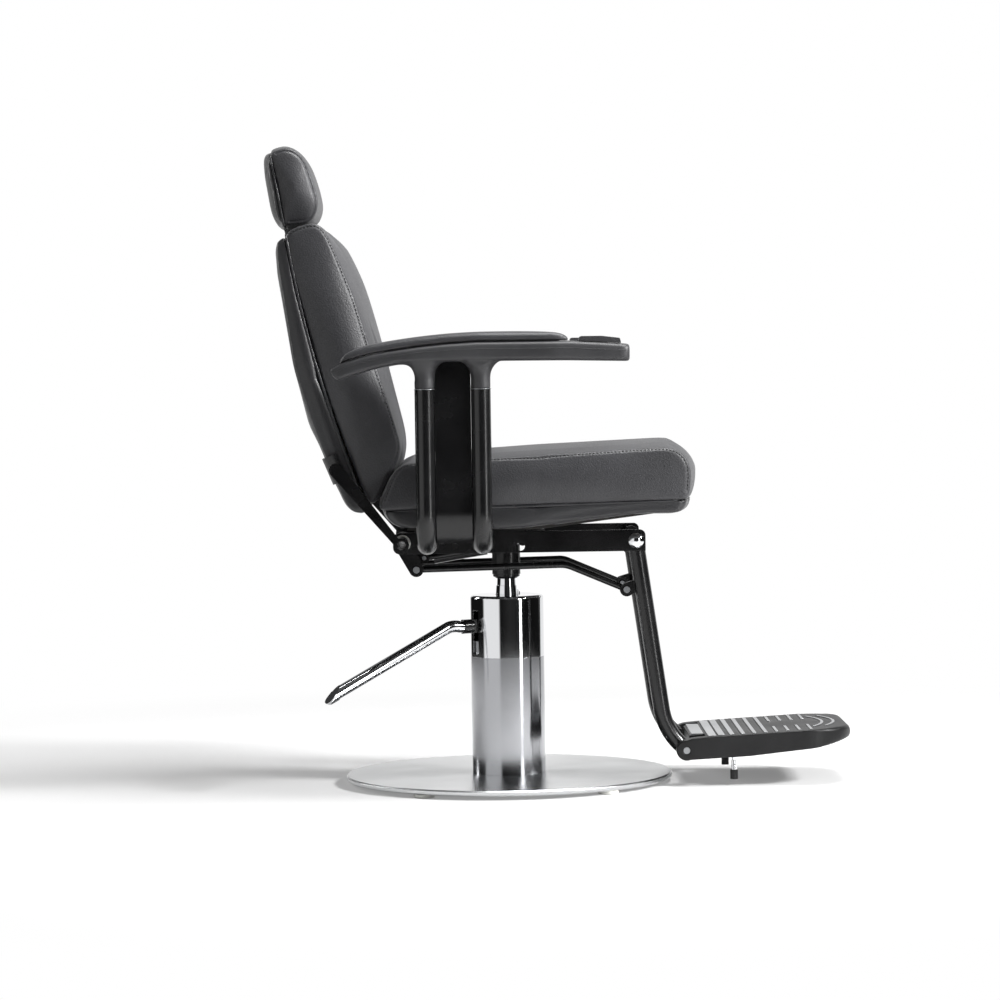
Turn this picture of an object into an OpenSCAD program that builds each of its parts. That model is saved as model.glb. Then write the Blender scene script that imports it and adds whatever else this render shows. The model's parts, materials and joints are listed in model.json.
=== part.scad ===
// Hydraulic barber chair: floor disc, pump column, swivelling seat frame, reclining back
// with a linked leg rest, flip-up footrest and a height-adjustable headrest.
// The origin is on the floor under the column; +X is the way the sitter faces, +Z is up.

/* [Base] */
// Diameter of the floor disc
base_d = 600; // [520:10:700]
// Thickness of the floor disc
base_t = 10; // [6:1:14]
// Height of the nylon glides under the disc
glide_h = 7; // [4:1:12]
// Diameter of one glide
glide_d = 38; // [24:2:56]
// Number of glides near the rim; one more is in the middle
glide_count = 5; // [4:1:8]

/* [Column and pump] */
// Outer diameter of the column covers
column_d = 135; // [130:1:150]
// Wall of the column covers
column_wall = 2; // [1:0.5:3]
// Height of the brushed lower cover
tube_h = 215; // [190:5:240]
// Height of the polished upper cover
cap_h = 113; // [106:1:130]
// Diameter of the piston rod
rod_d = 39.6; // [34:0.2:42]
// Travel of the piston rod
lift_travel = 150; // [100:5:170]
// Length of rod that shows above the column when lowered
rod_show = 30; // [24:1:60]
// Direction of the pedal, degrees from +X
pedal_angle = 210; // [180:1:240]
// Distance from the column's axis to the pedal's tip
pedal_reach = 383; // [340:2:420]
// Diameter of the pedal tube
pedal_d = 22; // [18:1:24]

/* [Seat frame] */
// Distance between the outer faces of the side rails
frame_w = 272; // [264:2:290]
// Thickness of a side rail
rail_t = 10; // [8:1:12]
// Height of a side rail
rail_h = 38.5; // [36:0.5:44]
// Front end of the side rails, from the column's axis
rail_front = 251; // [245:1:260]
// Outer diameter of the hub under the seat
hub_d = 52; // [46:1:58]
// Length of the hub that shows below the rails
hub_drop = 54; // [48:1:70]

/* [Seat] */
// Width of the seat cushion
seat_w = 500; // [460:10:540]
// Length of the seat cushion
seat_l = 566; // [540:2:590]
// Height of the seat cushion's sides at the back
seat_h = 82; // [70:2:110]
// How far the seat's top bulges above its stitched edge
seat_crown = 12; // [4:1:24]
// Thickness of the padded cover under the cushion
skirt_h = 34; // [26:1:40]

/* [Backrest] */
// Width of the backrest
back_w = 430; // [400:10:460]
// Length of the backrest along its slope
back_l = 500; // [470:5:540]
// How far the upper front of the back cushion bulges between its sides
back_crown = 34; // [10:1:40]
// Diameter of the tube that the backrest turns on
hinge_d = 22; // [18:1:24]

/* [Headrest] */
// Width of the headrest
head_w = 260; // [200:10:320]
// Height of the headrest
head_h = 130; // [120:5:180]
// Thickness of the headrest's front cushion at its sides
head_t = 70; // [60:2:90]
// Travel of the headrest post
head_travel = 90; // [40:5:110]

/* [Armrests] */
// Height of the armrest's moulded body above the rails
arm_rise = 343; // [300:1:380]
// Width of an armrest
arm_w = 64; // [54:2:76]
// Gap between the seat and an armrest
arm_gap = 18; // [10:1:30]
// Diameter of the arm posts
post_d = 35; // [28:1:40]
// Distance between the two posts of an arm
post_pitch = 99; // [80:1:120]

/* [Leg rest] */
// Distance from the front pivot down to the footrest hinge
leg_drop = 381; // [340:2:420]
// Distance from the front pivot forward to the footrest hinge
leg_reach = 86; // [70:2:110]
// Diameter of the leg tubes
leg_d = 30; // [25:1:32]
// Width of the footrest
foot_w = 300; // [290:2:340]
// Length of the footrest from its hinge
foot_l = 309; // [260:2:350]
// Length of a stop peg under the footrest
peg_l = 56; // [40:1:60]

/* [Hidden] */
$fn = 64;

leather = "#2c2c2e";
leather_light = "#3a3a3c";
paint = "#1b1b1d";
moulded = "#333335";
chrome = "#d8d9db";
brushed = "#b9babc";
steel = "#8f9194";
bronze = "#a9824a";
nylon = "#e6e6e2";
rubber = "#151516";

LEFT = 1;
RIGHT = -1;
SIDES = [RIGHT, LEFT];

run_gap = 0.05;     // radial clearance of a shaft that turns or slides in its hole
fit_gap = 0.02;     // radial clearance of a part that is pressed or welded in place
soft_gap = 0.4;     // clearance round a padded part
overlap = 0.01;     // how far a cutter runs past the face that it cuts
cut_past = 1;       // how far a through cutter runs past both faces
bend_lap = 0.5;     // how far a straight bar runs into a bend
bend_swell = 0.15;  // how much larger a bend's radius is than its bar's

// Heights from the floor up
disc_z = glide_h + base_t;
seam_z = disc_z + tube_h;
column_z = seam_z + cap_h;
shoulder_z = column_z + rod_show;
rail_z = shoulder_z + hub_drop;
rail_top = rail_z + rail_h;

// Column and pump
column_r = column_d / 2;
bore_r = column_r - column_wall;
rod_r = rod_d / 2;
tank_h = 223;
tank_wall = 2;
tank_r = bore_r - 3.5;
tank_floor = 6;
barrel_r = rod_r + 2.2;
barrel_wall = 4;
head_floor_z = disc_z + tank_h;
head_floor_t = 22;
head_r = bore_r - 1.5;
gland_r = rod_r + 8;
bush_t = 3.2;
bush_h = 33;
top_flange_t = 10;
cap_top_t = 5;
cap_edge_r = 6;
spindle_r = 15;
spindle_l = 80;
taper_l = 13;
neck_r = rod_r - 2.8;
lower_end_z = head_floor_z - lift_travel - 30;
seal_h = 10;
seal_z = lower_end_z + 6;
groove_r = rod_r - 2;

// Pedal, measured along its own direction from the column's axis
pedal_z = disc_z + 273;
pivot_r = 38;
pedal_pin_r = 5;
blade_t = 16;
blade_h = 24;
slot_w = 19;
slot_low = seam_z + 8;
slot_high = pedal_z + 28;
ear_t = 6;
ear_gap = 1;
socket_d = pedal_d + 4;
socket_in = column_r + 7.5;
socket_l = 20;
plunger_pos = 54;
plunger_r = 5;
plunger_l = 52;
bend_out = 118;
tip_drop = 119;
tip_l = 26;
tip_r = pedal_d / 2 + 1.5;

// Seat frame
rail_in = frame_w / 2 - rail_t;
rail_out = frame_w / 2;
hinge_x = -188;
hinge_z = rail_z + 20;
pivot_x = 234;
pivot_z = rail_z + 19;
rail_back = hinge_x - 17;
bush_r = hinge_d / 2 + 2;
hinge_r = hinge_d / 2;
look_hole_x = 25;
look_hole_z = rail_z + 11;
look_hole_r = 8;
pivot_pin_r = 6;
cap_dome_r = 14;
plate_t = 8;
seat_plate_t = 6;
board_t = 12;
seat_base_z = rail_top + seat_plate_t;
post_z = rail_z + 22;
bolt_y = rail_out - 6;

// Seat: the stitched edge of its top at the back and at the front
seat_back = -222;
seat_front = seat_back + seat_l;
skirt_z = seat_base_z + 3;
seam_low_z = skirt_z + skirt_h;
seat_slope = 0.026;

// Back pivot linkage: every point is measured from the hinge, in X and Z
lever_pin = [24, -50];
yoke_pin = [38, -31];
pin_r = 4;
open_gap = 2.6;
lever_y = 106;
lever_t = 6;
link_y = 96;
link_d = 12;
lug_pin = [-17, -90.5];
gas_y = -60;
anchor_x = 30;
anchor_z = rail_top - 20.5;
gas_r = 14;
gas_rod_r = 5;
gas_mouth_r = gas_rod_r + 2.4;

// Armrests
arm_y = seat_w / 2 + arm_gap + arm_w / 2;
post_back_x = -142;
post_front_x = post_back_x + post_pitch;
post_bend = 60;
post_wall = 2;
arm_top = rail_top + arm_rise;
collar_z = arm_top - 83;
arm_under = arm_top - 35;
arm_tip = -306;
arm_front = 219;
arm_end_r = 12;
flare_r = 32;
panel_t = 12;
panel_low_z = rail_z + 30;

// Backrest: measured from the hinge, X then Z
bow_y = back_w / 2 + 5;
bow_t = 8;
band_c = [-127, 134];
band_corner = 26;   // radius at which the band turns into the bow's bars
spacer_l = 20;      // from the band to the pockets of the board
band_tilt = 22.5;
band_h = 50;
band_t = 7;

// Headrest
head_lean = 15;
post_w = 60;
post_t = 6;
post_grip = 76;
channel_wall = 2;
channel_l = head_travel + 60;
slide_gap = 0.35;

// Leg rest: measured from the front pivot
leg_y = 108;
leg_wall = 2.5;
leg_lean = 8;
leg_straight = 311;
foot_x = pivot_x + leg_reach;
foot_z = pivot_z - leg_drop;
boss_r = 18.5;
foot_pin_r = 6;
flange_t = 25;
peg_x = 87;
peg_y = 117;

// ---------------------------------------------------------------- helpers

// Value or point a share t of the way from a to b
function mix(a, b, t) = a * (1 - t) + b * t;
function unit(v) = v / norm(v);
function total(list, i = 0) = i >= len(list) ? [0, 0, 0] : list[i] + total(list, i + 1);
function left_of(v) = [-v.y, v.x];
function lean(deg) = [sin(deg), -cos(deg)];

// Points of the rounded corner at b on the way from a to c
function corner(a, b, c, r, n) =
    let (u = unit(a - b), v = unit(c - b), half = acos(u * v) / 2,
         centre = b + unit(u + v) * r / sin(half),
         p = b + u * r / tan(half) - centre, q = b + v * r / tan(half) - centre,
         start = atan2(p.y, p.x), turn = (atan2(q.y, q.x) - start + 540) % 360 - 180)
    [for (i = [0:n]) centre + r * [cos(start + turn * i / n), sin(start + turn * i / n)]];

// Outline with every corner [x, z, radius] rounded by n + 1 points
function rounded(corners, n = 6) =
    let (m = len(corners))
    [for (i = [0:m - 1]) let (a = corners[(i + m - 1) % m], b = corners[i], c = corners[(i + 1) % m])
        each corner([a.x, a.y], [b.x, b.y], [c.x, c.y], b.z, n)];

// Closed skin over rings of points, its two ends closed by fans
module skin(rings) {
    n = len(rings[0]);
    m = len(rings);
    middles = [for (ring = [rings[0], rings[m - 1]]) total(ring) / n];
    walls = [for (k = [0:m - 2], i = [0:n - 1])
        let (a = k * n + i, b = k * n + (i + 1) % n) each [[a, b, b + n], [a, b + n, a + n]]];
    ends = [for (i = [0:n - 1]) let (j = (i + 1) % n, z = (m - 1) * n)
        each [[j, i, m * n], [z + i, z + j, m * n + 1]]];
    polyhedron([each [for (ring = rings) each ring], each middles], [each walls, each ends]);
}

// Share of the crown that a station across the width has: 1 in the middle, 0 at the edge
function crown_share(t) = 1 - pow(abs(t), 2.4);

// Padded form between a side outline and a middle outline of equal counts, along Y, with
// its edges rounded. pull draws the sides in; groove sinks a channel at share groove_at.
module padded(side, middle, width, edge, pull = 0, groove_at = 2, groove = 0) {
    half = width / 2;
    centre = total([for (p = side) [p.x, p.y, 0]]) / len(side);
    reach = max([for (p = side) norm(p - [centre.x, centre.y])]);
    inner = 1 - edge / half;
    fine = [0.25, 0.48, groove_at - 0.06, groove_at, groove_at + 0.06, 0.88];
    shares = groove > 0 ? fine : [0.3, 0.56, 0.8];
    flank = [for (t = shares) [t * inner, t == groove_at ? groove : 0]];
    round = [for (a = [0, 35, 65, 90]) [inner + edge / half * sin(a), edge * (1 - cos(a))]];
    right = [each flank, each round];
    n = len(right);
    list = [for (i = [n - 1:-1:0]) [-right[i].x, right[i].y], [0, 0], each right];
    skin([for (e = list)
        let (share = crown_share(min(abs(e.x) / inner, 1)))
        [for (i = [0:len(side) - 1])
            let (p = mix(side[i], middle[i], share), c = [centre.x, centre.y],
                 slack = pull * (1 - norm(side[i] - c) / reach) * e.x,
                 q = mix(p, c, e.y / max(norm(p - c), 1)))
            [q.x, half * e.x - slack, q.y]]]);
}

// Round bar in the XZ plane through the points of a path, bent at each inner point
module bent_bar(path, d, bend) {
    last = len(path) - 1;
    function way(i) = unit(path[i + 1] - path[i]);
    function turn(i) = let (a = way(i - 1), b = way(i)) atan2(a.x * b.y - a.y * b.x, a * b);
    function trim(i) = i == 0 || i == last ? 0 : bend * tan(abs(turn(i)) / 2);
    for (i = [0:last - 1]) {
        u = way(i);
        a = path[i] + u * (i == 0 ? 0 : trim(i) - bend_lap);
        b = path[i + 1] - u * (i + 1 == last ? 0 : trim(i + 1) - bend_lap);
        translate([a.x, 0, a.y]) rotate([0, atan2(u.x, u.y), 0]) cylinder(h = norm(b - a), d = d);
    }
    for (i = [1:1:last - 1]) {
        side = turn(i) > 0 ? 1 : -1;
        start = path[i] - way(i - 1) * trim(i);
        hub = start + left_of(way(i - 1)) * side * bend;
        from = atan2(start.y - hub.y, start.x - hub.x) - (side > 0 ? 0 : abs(turn(i)));
        translate([hub.x, 0, hub.y]) rotate([90, 0, 0]) rotate([0, 0, from])
            rotate_extrude(angle = abs(turn(i))) translate([bend, 0]) circle(d = d + 2 * bend_swell);
    }
}

// The same path with both ends run on by e
function longer(path, e) =
    let (n = len(path) - 1, a = unit(path[0] - path[1]), b = unit(path[n] - path[n - 1]))
    [for (i = [0:n]) i == 0 ? path[0] + a * e : i == n ? path[n] + b * e : path[i]];

// Tube with an open bore along the same kind of path
module bent_tube(path, d, wall, bend) {
    difference() {
        bent_bar(path, d, bend);
        bent_bar(longer(path, cut_past), d - 2 * wall, bend);
    }
}

// Flat link between two points, round at both ends, as an outline in X and Z
module link_outline(a, ra, b, rb) {
    w = b - a;
    way = atan2(w.y, w.x);
    open = acos((ra - rb) / norm(w));
    translate(a) circle(ra);
    translate(b) circle(rb);
    polygon([for (k = [[a, ra, open], [b, rb, open], [b, rb, -open], [a, ra, -open]])
        k[0] + k[1] * [cos(way + k[2]), sin(way + k[2])]]);
}

// Outline drawn in X and Z, given a thickness along Y centred on y
module across(y, t) {
    translate([0, y + t / 2, 0]) rotate([90, 0, 0]) linear_extrude(t) children();
}

// Shaft along Y, centred on y
module shaft(p, y, l, r) {
    translate([p.x, y + l / 2, p.y]) rotate([90, 0, 0]) cylinder(h = l, r = r);
}

// Shaft along Y with domed heads proud of both ends, one on the side that face names
module headed_pin(p, y, l, r, head, head_t, face) {
    shaft(p, y, l, r);
    shaft(p, y + face * (l + head_t) / 2, head_t, head);
}

// Turns a part that is drawn along +X so that it lies along the pedal's direction
module along_pedal() {
    rotate([0, 0, pedal_angle]) children();
}

// ---------------------------------------------------------------- base and column

module base_plate() {
    bevel = 2.5;
    r = base_d / 2;
    color(brushed) rotate_extrude($fn = 128)
        polygon([[0, glide_h], [r - bevel, glide_h], [r, glide_h + bevel],
                 [r, disc_z - bevel], [r - bevel, disc_z], [0, disc_z]]);
}

module base_glides() {
    inset = glide_d / 2 + 1;
    edge = 1.5;
    ring = [for (i = [0:glide_count - 1]) let (a = 236.5 + i * 360 / glide_count)
        (base_d / 2 - inset) * [cos(a), sin(a)]];
    color(nylon) for (p = [[0, 0], each ring]) translate([p.x, p.y, 0])
        rotate_extrude() polygon([[0, 0], [glide_d / 2 - edge, 0], [glide_d / 2, edge],
                                  [glide_d / 2, glide_h], [0, glide_h]]);
}

module column_tube() {
    color(brushed) translate([0, 0, disc_z]) difference() {
        cylinder(h = tube_h, r = column_r);
        translate([0, 0, -cut_past]) cylinder(h = tube_h + 2 * cut_past, r = bore_r);
    }
}

module column_cap() {
    hole_r = rod_r + 1.5;
    color(chrome) difference() {
        rotate_extrude() difference() {
            union() {
                translate([0, seam_z]) square([column_r, cap_h - cap_edge_r]);
                translate([0, seam_z]) square([column_r - cap_edge_r, cap_h]);
                translate([column_r - cap_edge_r, column_z - cap_edge_r]) circle(cap_edge_r);
            }
            translate([-overlap, seam_z - cut_past]) square([bore_r + overlap, cap_h - cap_top_t + cut_past]);
            translate([-overlap, seam_z]) square([hole_r + overlap, cap_h + cut_past]);
        }
        along_pedal() translate([column_r / 2, -slot_w / 2, slot_low])
            cube([column_r, slot_w, slot_high - slot_low]);
    }
}

module pump_tank() {
    color(steel) translate([0, 0, disc_z]) difference() {
        cylinder(h = tank_h, r = tank_r);
        translate([0, 0, tank_floor]) cylinder(h = tank_h, r = tank_r - tank_wall);
    }
}

module pump_barrel() {
    z = disc_z + tank_floor;
    color(steel) translate([0, 0, z]) difference() {
        cylinder(h = head_floor_z - z, r = barrel_r + barrel_wall);
        translate([0, 0, -cut_past]) cylinder(h = head_floor_z - z + 2 * cut_past, r = barrel_r);
    }
}

module pump_head() {
    top_z = column_z - cap_top_t;
    ear_y = blade_t / 2 + ear_gap;
    ear_r = 12;
    color(steel) difference() {
        union() {
            translate([0, 0, head_floor_z]) cylinder(h = head_floor_t, r = head_r);
            translate([0, 0, head_floor_z]) cylinder(h = top_z - head_floor_z, r = gland_r);
            translate([0, 0, top_z - top_flange_t]) cylinder(h = top_flange_t, r = head_r);
            along_pedal() for (s = SIDES) translate([0, s * (ear_y + ear_t / 2), 0]) {
                across(0, ear_t) translate([pivot_r, pedal_z]) circle(ear_r);
                translate([gland_r - 4, -ear_t / 2, head_floor_z + 5])
                    cube([pivot_r + ear_r - 0.6 - gland_r + 4, ear_t, pedal_z - head_floor_z - 5]);
            }
        }
        translate([0, 0, head_floor_z - cut_past])
            cylinder(h = top_z - head_floor_z + 2 * cut_past, r = rod_r + 1);
        translate([0, 0, top_z - bush_h]) cylinder(h = bush_h + cut_past, r = rod_r + bush_t + fit_gap);
        along_pedal() {
            shaft([pivot_r, pedal_z], 0, 2 * column_r, pedal_pin_r + fit_gap);
            translate([plunger_pos, 0, head_floor_z - cut_past])
                cylinder(h = head_floor_t + 2 * cut_past, r = plunger_r + run_gap);
            translate([gland_r - 1.5, -ear_y, head_floor_z + head_floor_t - 0.5])
                cube([column_r, 2 * ear_y, top_z - top_flange_t - head_floor_z - head_floor_t]);
        }
    }
}

module guide_bush() {
    z = column_z - cap_top_t - bush_h;
    color(bronze) translate([0, 0, z]) difference() {
        cylinder(h = bush_h, r = rod_r + bush_t);
        translate([0, 0, -cut_past]) cylinder(h = bush_h + 2 * cut_past, r = rod_r + run_gap);
    }
}

module fill_screw() {
    color(chrome) rotate([0, 0, 62]) translate([rod_r + 22, 0, column_z]) {
        cylinder(h = 3, r = 5.5);
        cylinder(h = 7, r = 2.5);
    }
}

module pedal_pin() {
    l = blade_t + 2 * (ear_gap + ear_t);
    color(steel) along_pedal() shaft([pivot_r, pedal_z], 0, l, pedal_pin_r);
}

module pedal_arm() {
    color(paint) along_pedal() difference() {
        union() {
            across(0, blade_t) translate([pivot_r, pedal_z]) circle(blade_h / 2 - 2);
            translate([pivot_r, -blade_t / 2, pedal_z - blade_h / 2])
                cube([socket_in - pivot_r + 2, blade_t, blade_h]);
            translate([socket_in, 0, pedal_z]) rotate([0, 90, 0]) cylinder(h = socket_l, d = socket_d);
        }
        shaft([pivot_r, pedal_z], 0, 2 * blade_t, pedal_pin_r + run_gap);
        translate([socket_in + 4, 0, pedal_z]) rotate([0, 90, 0])
            cylinder(h = socket_l, d = pedal_d + 2 * fit_gap);
    }
}

module pedal_tube() {
    tip = [pedal_reach, pedal_z - tip_drop];
    path = [[socket_in + 4, pedal_z], [bend_out, pedal_z + 3], tip];
    slope = unit(tip - path[1]);
    cut_l = 44;      // length of the flat on the tip's upper side
    cut_end = 6;     // thickness left at its outer end
    cutter = [60, 100, 90];
    color(chrome) along_pedal() difference() {
        union() {
            bent_bar([path[0], [socket_in + socket_l + 4, pedal_z], path[1], tip - slope * tip_l / 2], pedal_d, 42);
            translate([tip.x, 0, tip.y]) rotate([0, atan2(slope.x, slope.y), 0])
                rotate_extrude() intersection() {
                    translate([0, -tip_l]) square([tip_r, tip_l]);
                    union() {
                        translate([0, -tip_l]) square([tip_r, tip_l - tip_r]);
                        translate([0, -tip_r]) circle(tip_r);
                    }
                }
        }
        translate([tip.x, 0, tip.y]) rotate([0, atan2(slope.x, slope.y), 0])
            translate([-tip_r, -cutter.y / 2, -cut_l]) rotate([0, atan((2 * tip_r - cut_end) / cut_l), 0])
                translate([-cutter.x, 0, 0]) cube(cutter);
    }
}

module pump_plunger() {
    z = pedal_z - blade_h / 2 - 0.3 - plunger_l;
    tip = 1.2;
    color(chrome) along_pedal() translate([plunger_pos, 0, z]) {
        cylinder(h = plunger_l - tip, r = plunger_r);
        translate([0, 0, plunger_l - tip]) cylinder(h = tip, r1 = plunger_r, r2 = 2);
    }
}

module piston_rod() {
    color(chrome) rotate_extrude()
        polygon([[0, lower_end_z], [rod_r, lower_end_z], [rod_r, seal_z], [groove_r, seal_z],
                 [groove_r, seal_z + seal_h], [rod_r, seal_z + seal_h],
                 [rod_r, shoulder_z - 2 * taper_l], [rod_r - 1, shoulder_z - taper_l],
                 [neck_r + 0.6, shoulder_z - taper_l], [neck_r, shoulder_z],
                 [spindle_r, shoulder_z], [spindle_r, shoulder_z + spindle_l],
                 [0, shoulder_z + spindle_l]]);
}

module piston_seal() {
    color(rubber) translate([0, 0, seal_z + fit_gap]) difference() {
        cylinder(h = seal_h - 2 * fit_gap, r = barrel_r - run_gap);
        translate([0, 0, -cut_past]) cylinder(h = seal_h + 2 * cut_past, r = groove_r + fit_gap);
    }
}

// ---------------------------------------------------------------- seat frame

module swivel_hub() {
    r = hub_d / 2;
    collar_h = 8;
    play = 0.3;
    color(paint) rotate_extrude() difference() {
        polygon([[0, shoulder_z + play], [neck_r + 2, shoulder_z + play],
                 [r - 1.5, shoulder_z + 4], [r - 1.5, shoulder_z + collar_h],
                 [r, shoulder_z + collar_h], [r, rail_top - plate_t], [0, rail_top - plate_t]]);
        translate([-overlap, shoulder_z - cut_past])
            square([spindle_r + run_gap + overlap, spindle_l + 2 * cut_past]);
    }
}

module rail(side) {
    end_r = 12;
    front_r = 10;
    color(paint) difference() {
        across(side * (rail_out - rail_t / 2), rail_t)
            polygon(rounded([[rail_back, rail_z, end_r], [rail_front, rail_z, 1],
                             [rail_front, rail_top, front_r], [rail_back, rail_top, end_r]]));
        shaft([hinge_x, hinge_z], 0, frame_w + cut_past, bush_r + fit_gap);
        shaft([pivot_x, pivot_z], 0, frame_w + cut_past, pivot_pin_r + fit_gap);
        shaft([look_hole_x, look_hole_z], 0, frame_w + cut_past, look_hole_r);
    }
}

module left_rail() { rail(LEFT); }
module right_rail() { rail(RIGHT); }

// Plate between the rails, with a slot that the gas spring swings up into
module cross_plate() {
    slot = 2 * gas_r + 4;
    color(paint) difference() {
        translate([-100, -rail_in, rail_top - plate_t]) cube([170, 2 * rail_in, plate_t]);
        translate([-100 - cut_past, gas_y - slot / 2, rail_top - plate_t - cut_past])
            cube([88, slot, plate_t + 2 * cut_past]);
    }
}

module hinge_bushes() {
    rim = 1;
    color(nylon) for (s = SIDES) difference() {
        union() {
            shaft([hinge_x, hinge_z], s * (rail_out - rail_t / 2), rail_t, bush_r);
            shaft([hinge_x, hinge_z], s * (rail_out + rim / 2), rim, bush_r + 2);
        }
        shaft([hinge_x, hinge_z], s * rail_out, 3 * rail_t, hinge_r + run_gap);
    }
}

module frame_bolts() {
    head = 1.5;
    color(steel) for (x = [-150, -70, 20], s = SIDES)
        translate([x, s * bolt_y, seat_base_z]) cylinder(h = head, r = 5);
}

module seat_plate() {
    wide = frame_w - 1;
    color(paint) translate([-165, -wide / 2, rail_top]) cube([200, wide, seat_plate_t]);
}

// ---------------------------------------------------------------- seat

module seat_board() {
    wide = seat_w - 130;
    bend_x = 60;
    rise = 26;
    color("#262421") difference() {
        across(0, wide) polygon([[-178, seat_base_z], [bend_x, seat_base_z],
            [seat_front - 70, seat_base_z + rise], [seat_front - 70, seat_base_z + rise + board_t],
            [bend_x, seat_base_z + board_t], [-178, seat_base_z + board_t]]);
        for (x = [-150, -70, 20], s = SIDES) translate([x, s * bolt_y, seat_base_z - cut_past])
            cylinder(h = 4, r = 7);
    }
}

// Height of the seam between the skirt and the cushion at x
function seam_at(x) = seam_low_z + 1.5 + 0.023 * (x - seat_back);

// Side outline of the skirt; dip lowers its underside, nose runs its front forward
function skirt_outline(dip, nose) = rounded([
    [seat_back + 24 - nose * 0.5, skirt_z + 5, 14], [20, skirt_z - dip, 60], [235, skirt_z + 25 - dip, 90],
    [seat_front - 24 + nose, skirt_z + 24, 8], [seat_front - 20 + nose, seam_at(seat_front) - soft_gap, 4],
    [60, seam_at(60) - soft_gap, 200], [seat_back + 2 - nose * 0.65, seam_at(seat_back) - soft_gap, 6]], 4);

module seat_skirt() {
    wide = seat_w - 130;
    bend_x = 60;
    rise = 26;
    color(leather_light) difference() {
        padded(skirt_outline(0, 0), skirt_outline(1, 16), seat_w - 8, 14);
        across(0, wide + 2 * soft_gap) polygon([[-178 - soft_gap, seat_base_z - 2],
            [bend_x, seat_base_z - 2], [seat_front - 70 + soft_gap, seat_base_z + rise - 2],
            [seat_front - 70 + soft_gap, seat_base_z + rise + board_t + soft_gap],
            [bend_x, seat_base_z + board_t + soft_gap], [-178 - soft_gap, seat_base_z + board_t + soft_gap]]);
    }
}

// Side outline of the cushion; crown lifts its top and nose runs its front forward
function seat_outline(crown, nose) =
    let (back_top = seam_at(seat_back) + seat_h, front_top = back_top + 22)
    rounded([[seat_back - nose * 0.36, seam_at(seat_back), 12], [60, seam_at(60), 200],
             [seat_front - 22 + nose * 0.8, seam_at(seat_front), 11],
             [seat_front - 17 + nose, front_top + crown, 42], [60, back_top + 10.5 + crown, 400],
             [seat_back + 36 + crown * 0.3, back_top + crown * 0.5, 38]], 5);

module seat_cushion() {
    color(leather) padded(seat_outline(0, 0), seat_outline(seat_crown, 25), seat_w, 9, 7);
}

// ---------------------------------------------------------------- armrests

module arm_posts(side) {
    flange_r = 21;
    flange_t = 5;
    plug = 30;
    spigot = 28;
    color(paint) for (x = [post_back_x, post_front_x]) translate([x, 0, 0]) rotate([0, 0, side * 90]) {
        difference() {
            bent_bar([[rail_out, post_z], [arm_y, post_z], [arm_y, collar_z]], post_d, post_bend);
            bent_bar([[rail_out + flange_t, post_z], [arm_y, post_z], [arm_y, collar_z - plug]],
                post_d - 2 * post_wall, post_bend);
        }
        translate([rail_out, 0, post_z]) rotate([0, 90, 0]) cylinder(h = flange_t, r = flange_r);
        translate([arm_y, 0, collar_z - cut_past]) cylinder(h = spigot + cut_past, d = post_d - 5);
    }
}

module left_arm_posts() { arm_posts(LEFT); }
module right_arm_posts() { arm_posts(RIGHT); }

module arm_panel(side) {
    gap = 0.3;
    wide = post_pitch - post_d - 2 * gap;
    x = (post_back_x + post_front_x) / 2;
    low = post_z + post_bend;
    arch_z = arm_under - flare_r + 4;
    bend_r = post_bend - panel_t / 2;
    sweep = 58;
    color(paint) translate([x, 0, 0]) rotate([0, 0, side * 90]) {
        translate([arm_y - panel_t / 2, -wide / 2, low]) cube([panel_t, wide, arch_z - low]);
        difference() {
            translate([arm_y - panel_t / 2, 0, arch_z]) rotate([0, 90, 0])
                cylinder(h = panel_t, d = wide - 0.6);
            translate([arm_y - panel_t, -wide / 2, arm_under - gap]) cube([2 * panel_t, wide, flare_r]);
        }
        translate([arm_y - post_bend, wide / 2, low]) rotate([90, 0, 0]) intersection() {
            difference() {
                cylinder(h = wide, r = post_bend + panel_t / 2);
                translate([0, 0, -cut_past]) cylinder(h = wide + 2 * cut_past, r = bend_r);
            }
            translate([0, 0, -cut_past]) linear_extrude(wide + 2 * cut_past) polygon([[0, 0],
                3 * post_bend * [cos(sweep), -sin(sweep)], [3 * post_bend, -3 * post_bend], [3 * post_bend, 0]]);
        }
    }
}

module left_arm_panel() { arm_panel(LEFT); }
module right_arm_panel() { arm_panel(RIGHT); }

// Height of the moulded body's top and underside below arm_top, and its width, along X
ARM_TOP = [[-306, -45], [-280, -32], [-236, -20], [-198, -14], [-150, -7.5], [-100, -2.5],
           [-50, 0], [110, -0.5], [170, -4], [219, -8]];
ARM_LOW = [[-306, -49], [-298, -66], [-290, -65], [-270, -58], [-235, -48], [-205, -41],
           [-150, -36], [-80, -34.5], [100, -35.5], [219, -38.5]];
ARM_WIDE = [[-306, 0.62], [-298, 0.74], [-285, 0.82], [-230, 0.92], [-150, 1], [207, 1],
            [214, 0.94], [219, 0.78]];

// Ring of the moulded body at x: a soft-cornered box
function arm_ring(x, y, n = 20) =
    let (top = arm_top + lookup(x, ARM_TOP), low = arm_top + lookup(x, ARM_LOW),
         half = arm_w / 2 * lookup(x, ARM_WIDE), soft = 0.42)
    [for (i = [0:n - 1]) let (a = 360 * (i + 0.5) / n, c = cos(a), s = sin(a))
        [x, y - half * sign(c) * pow(abs(c), soft), (top + low) / 2 + (top - low) / 2 * sign(s) * pow(abs(s), soft)]];

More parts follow.
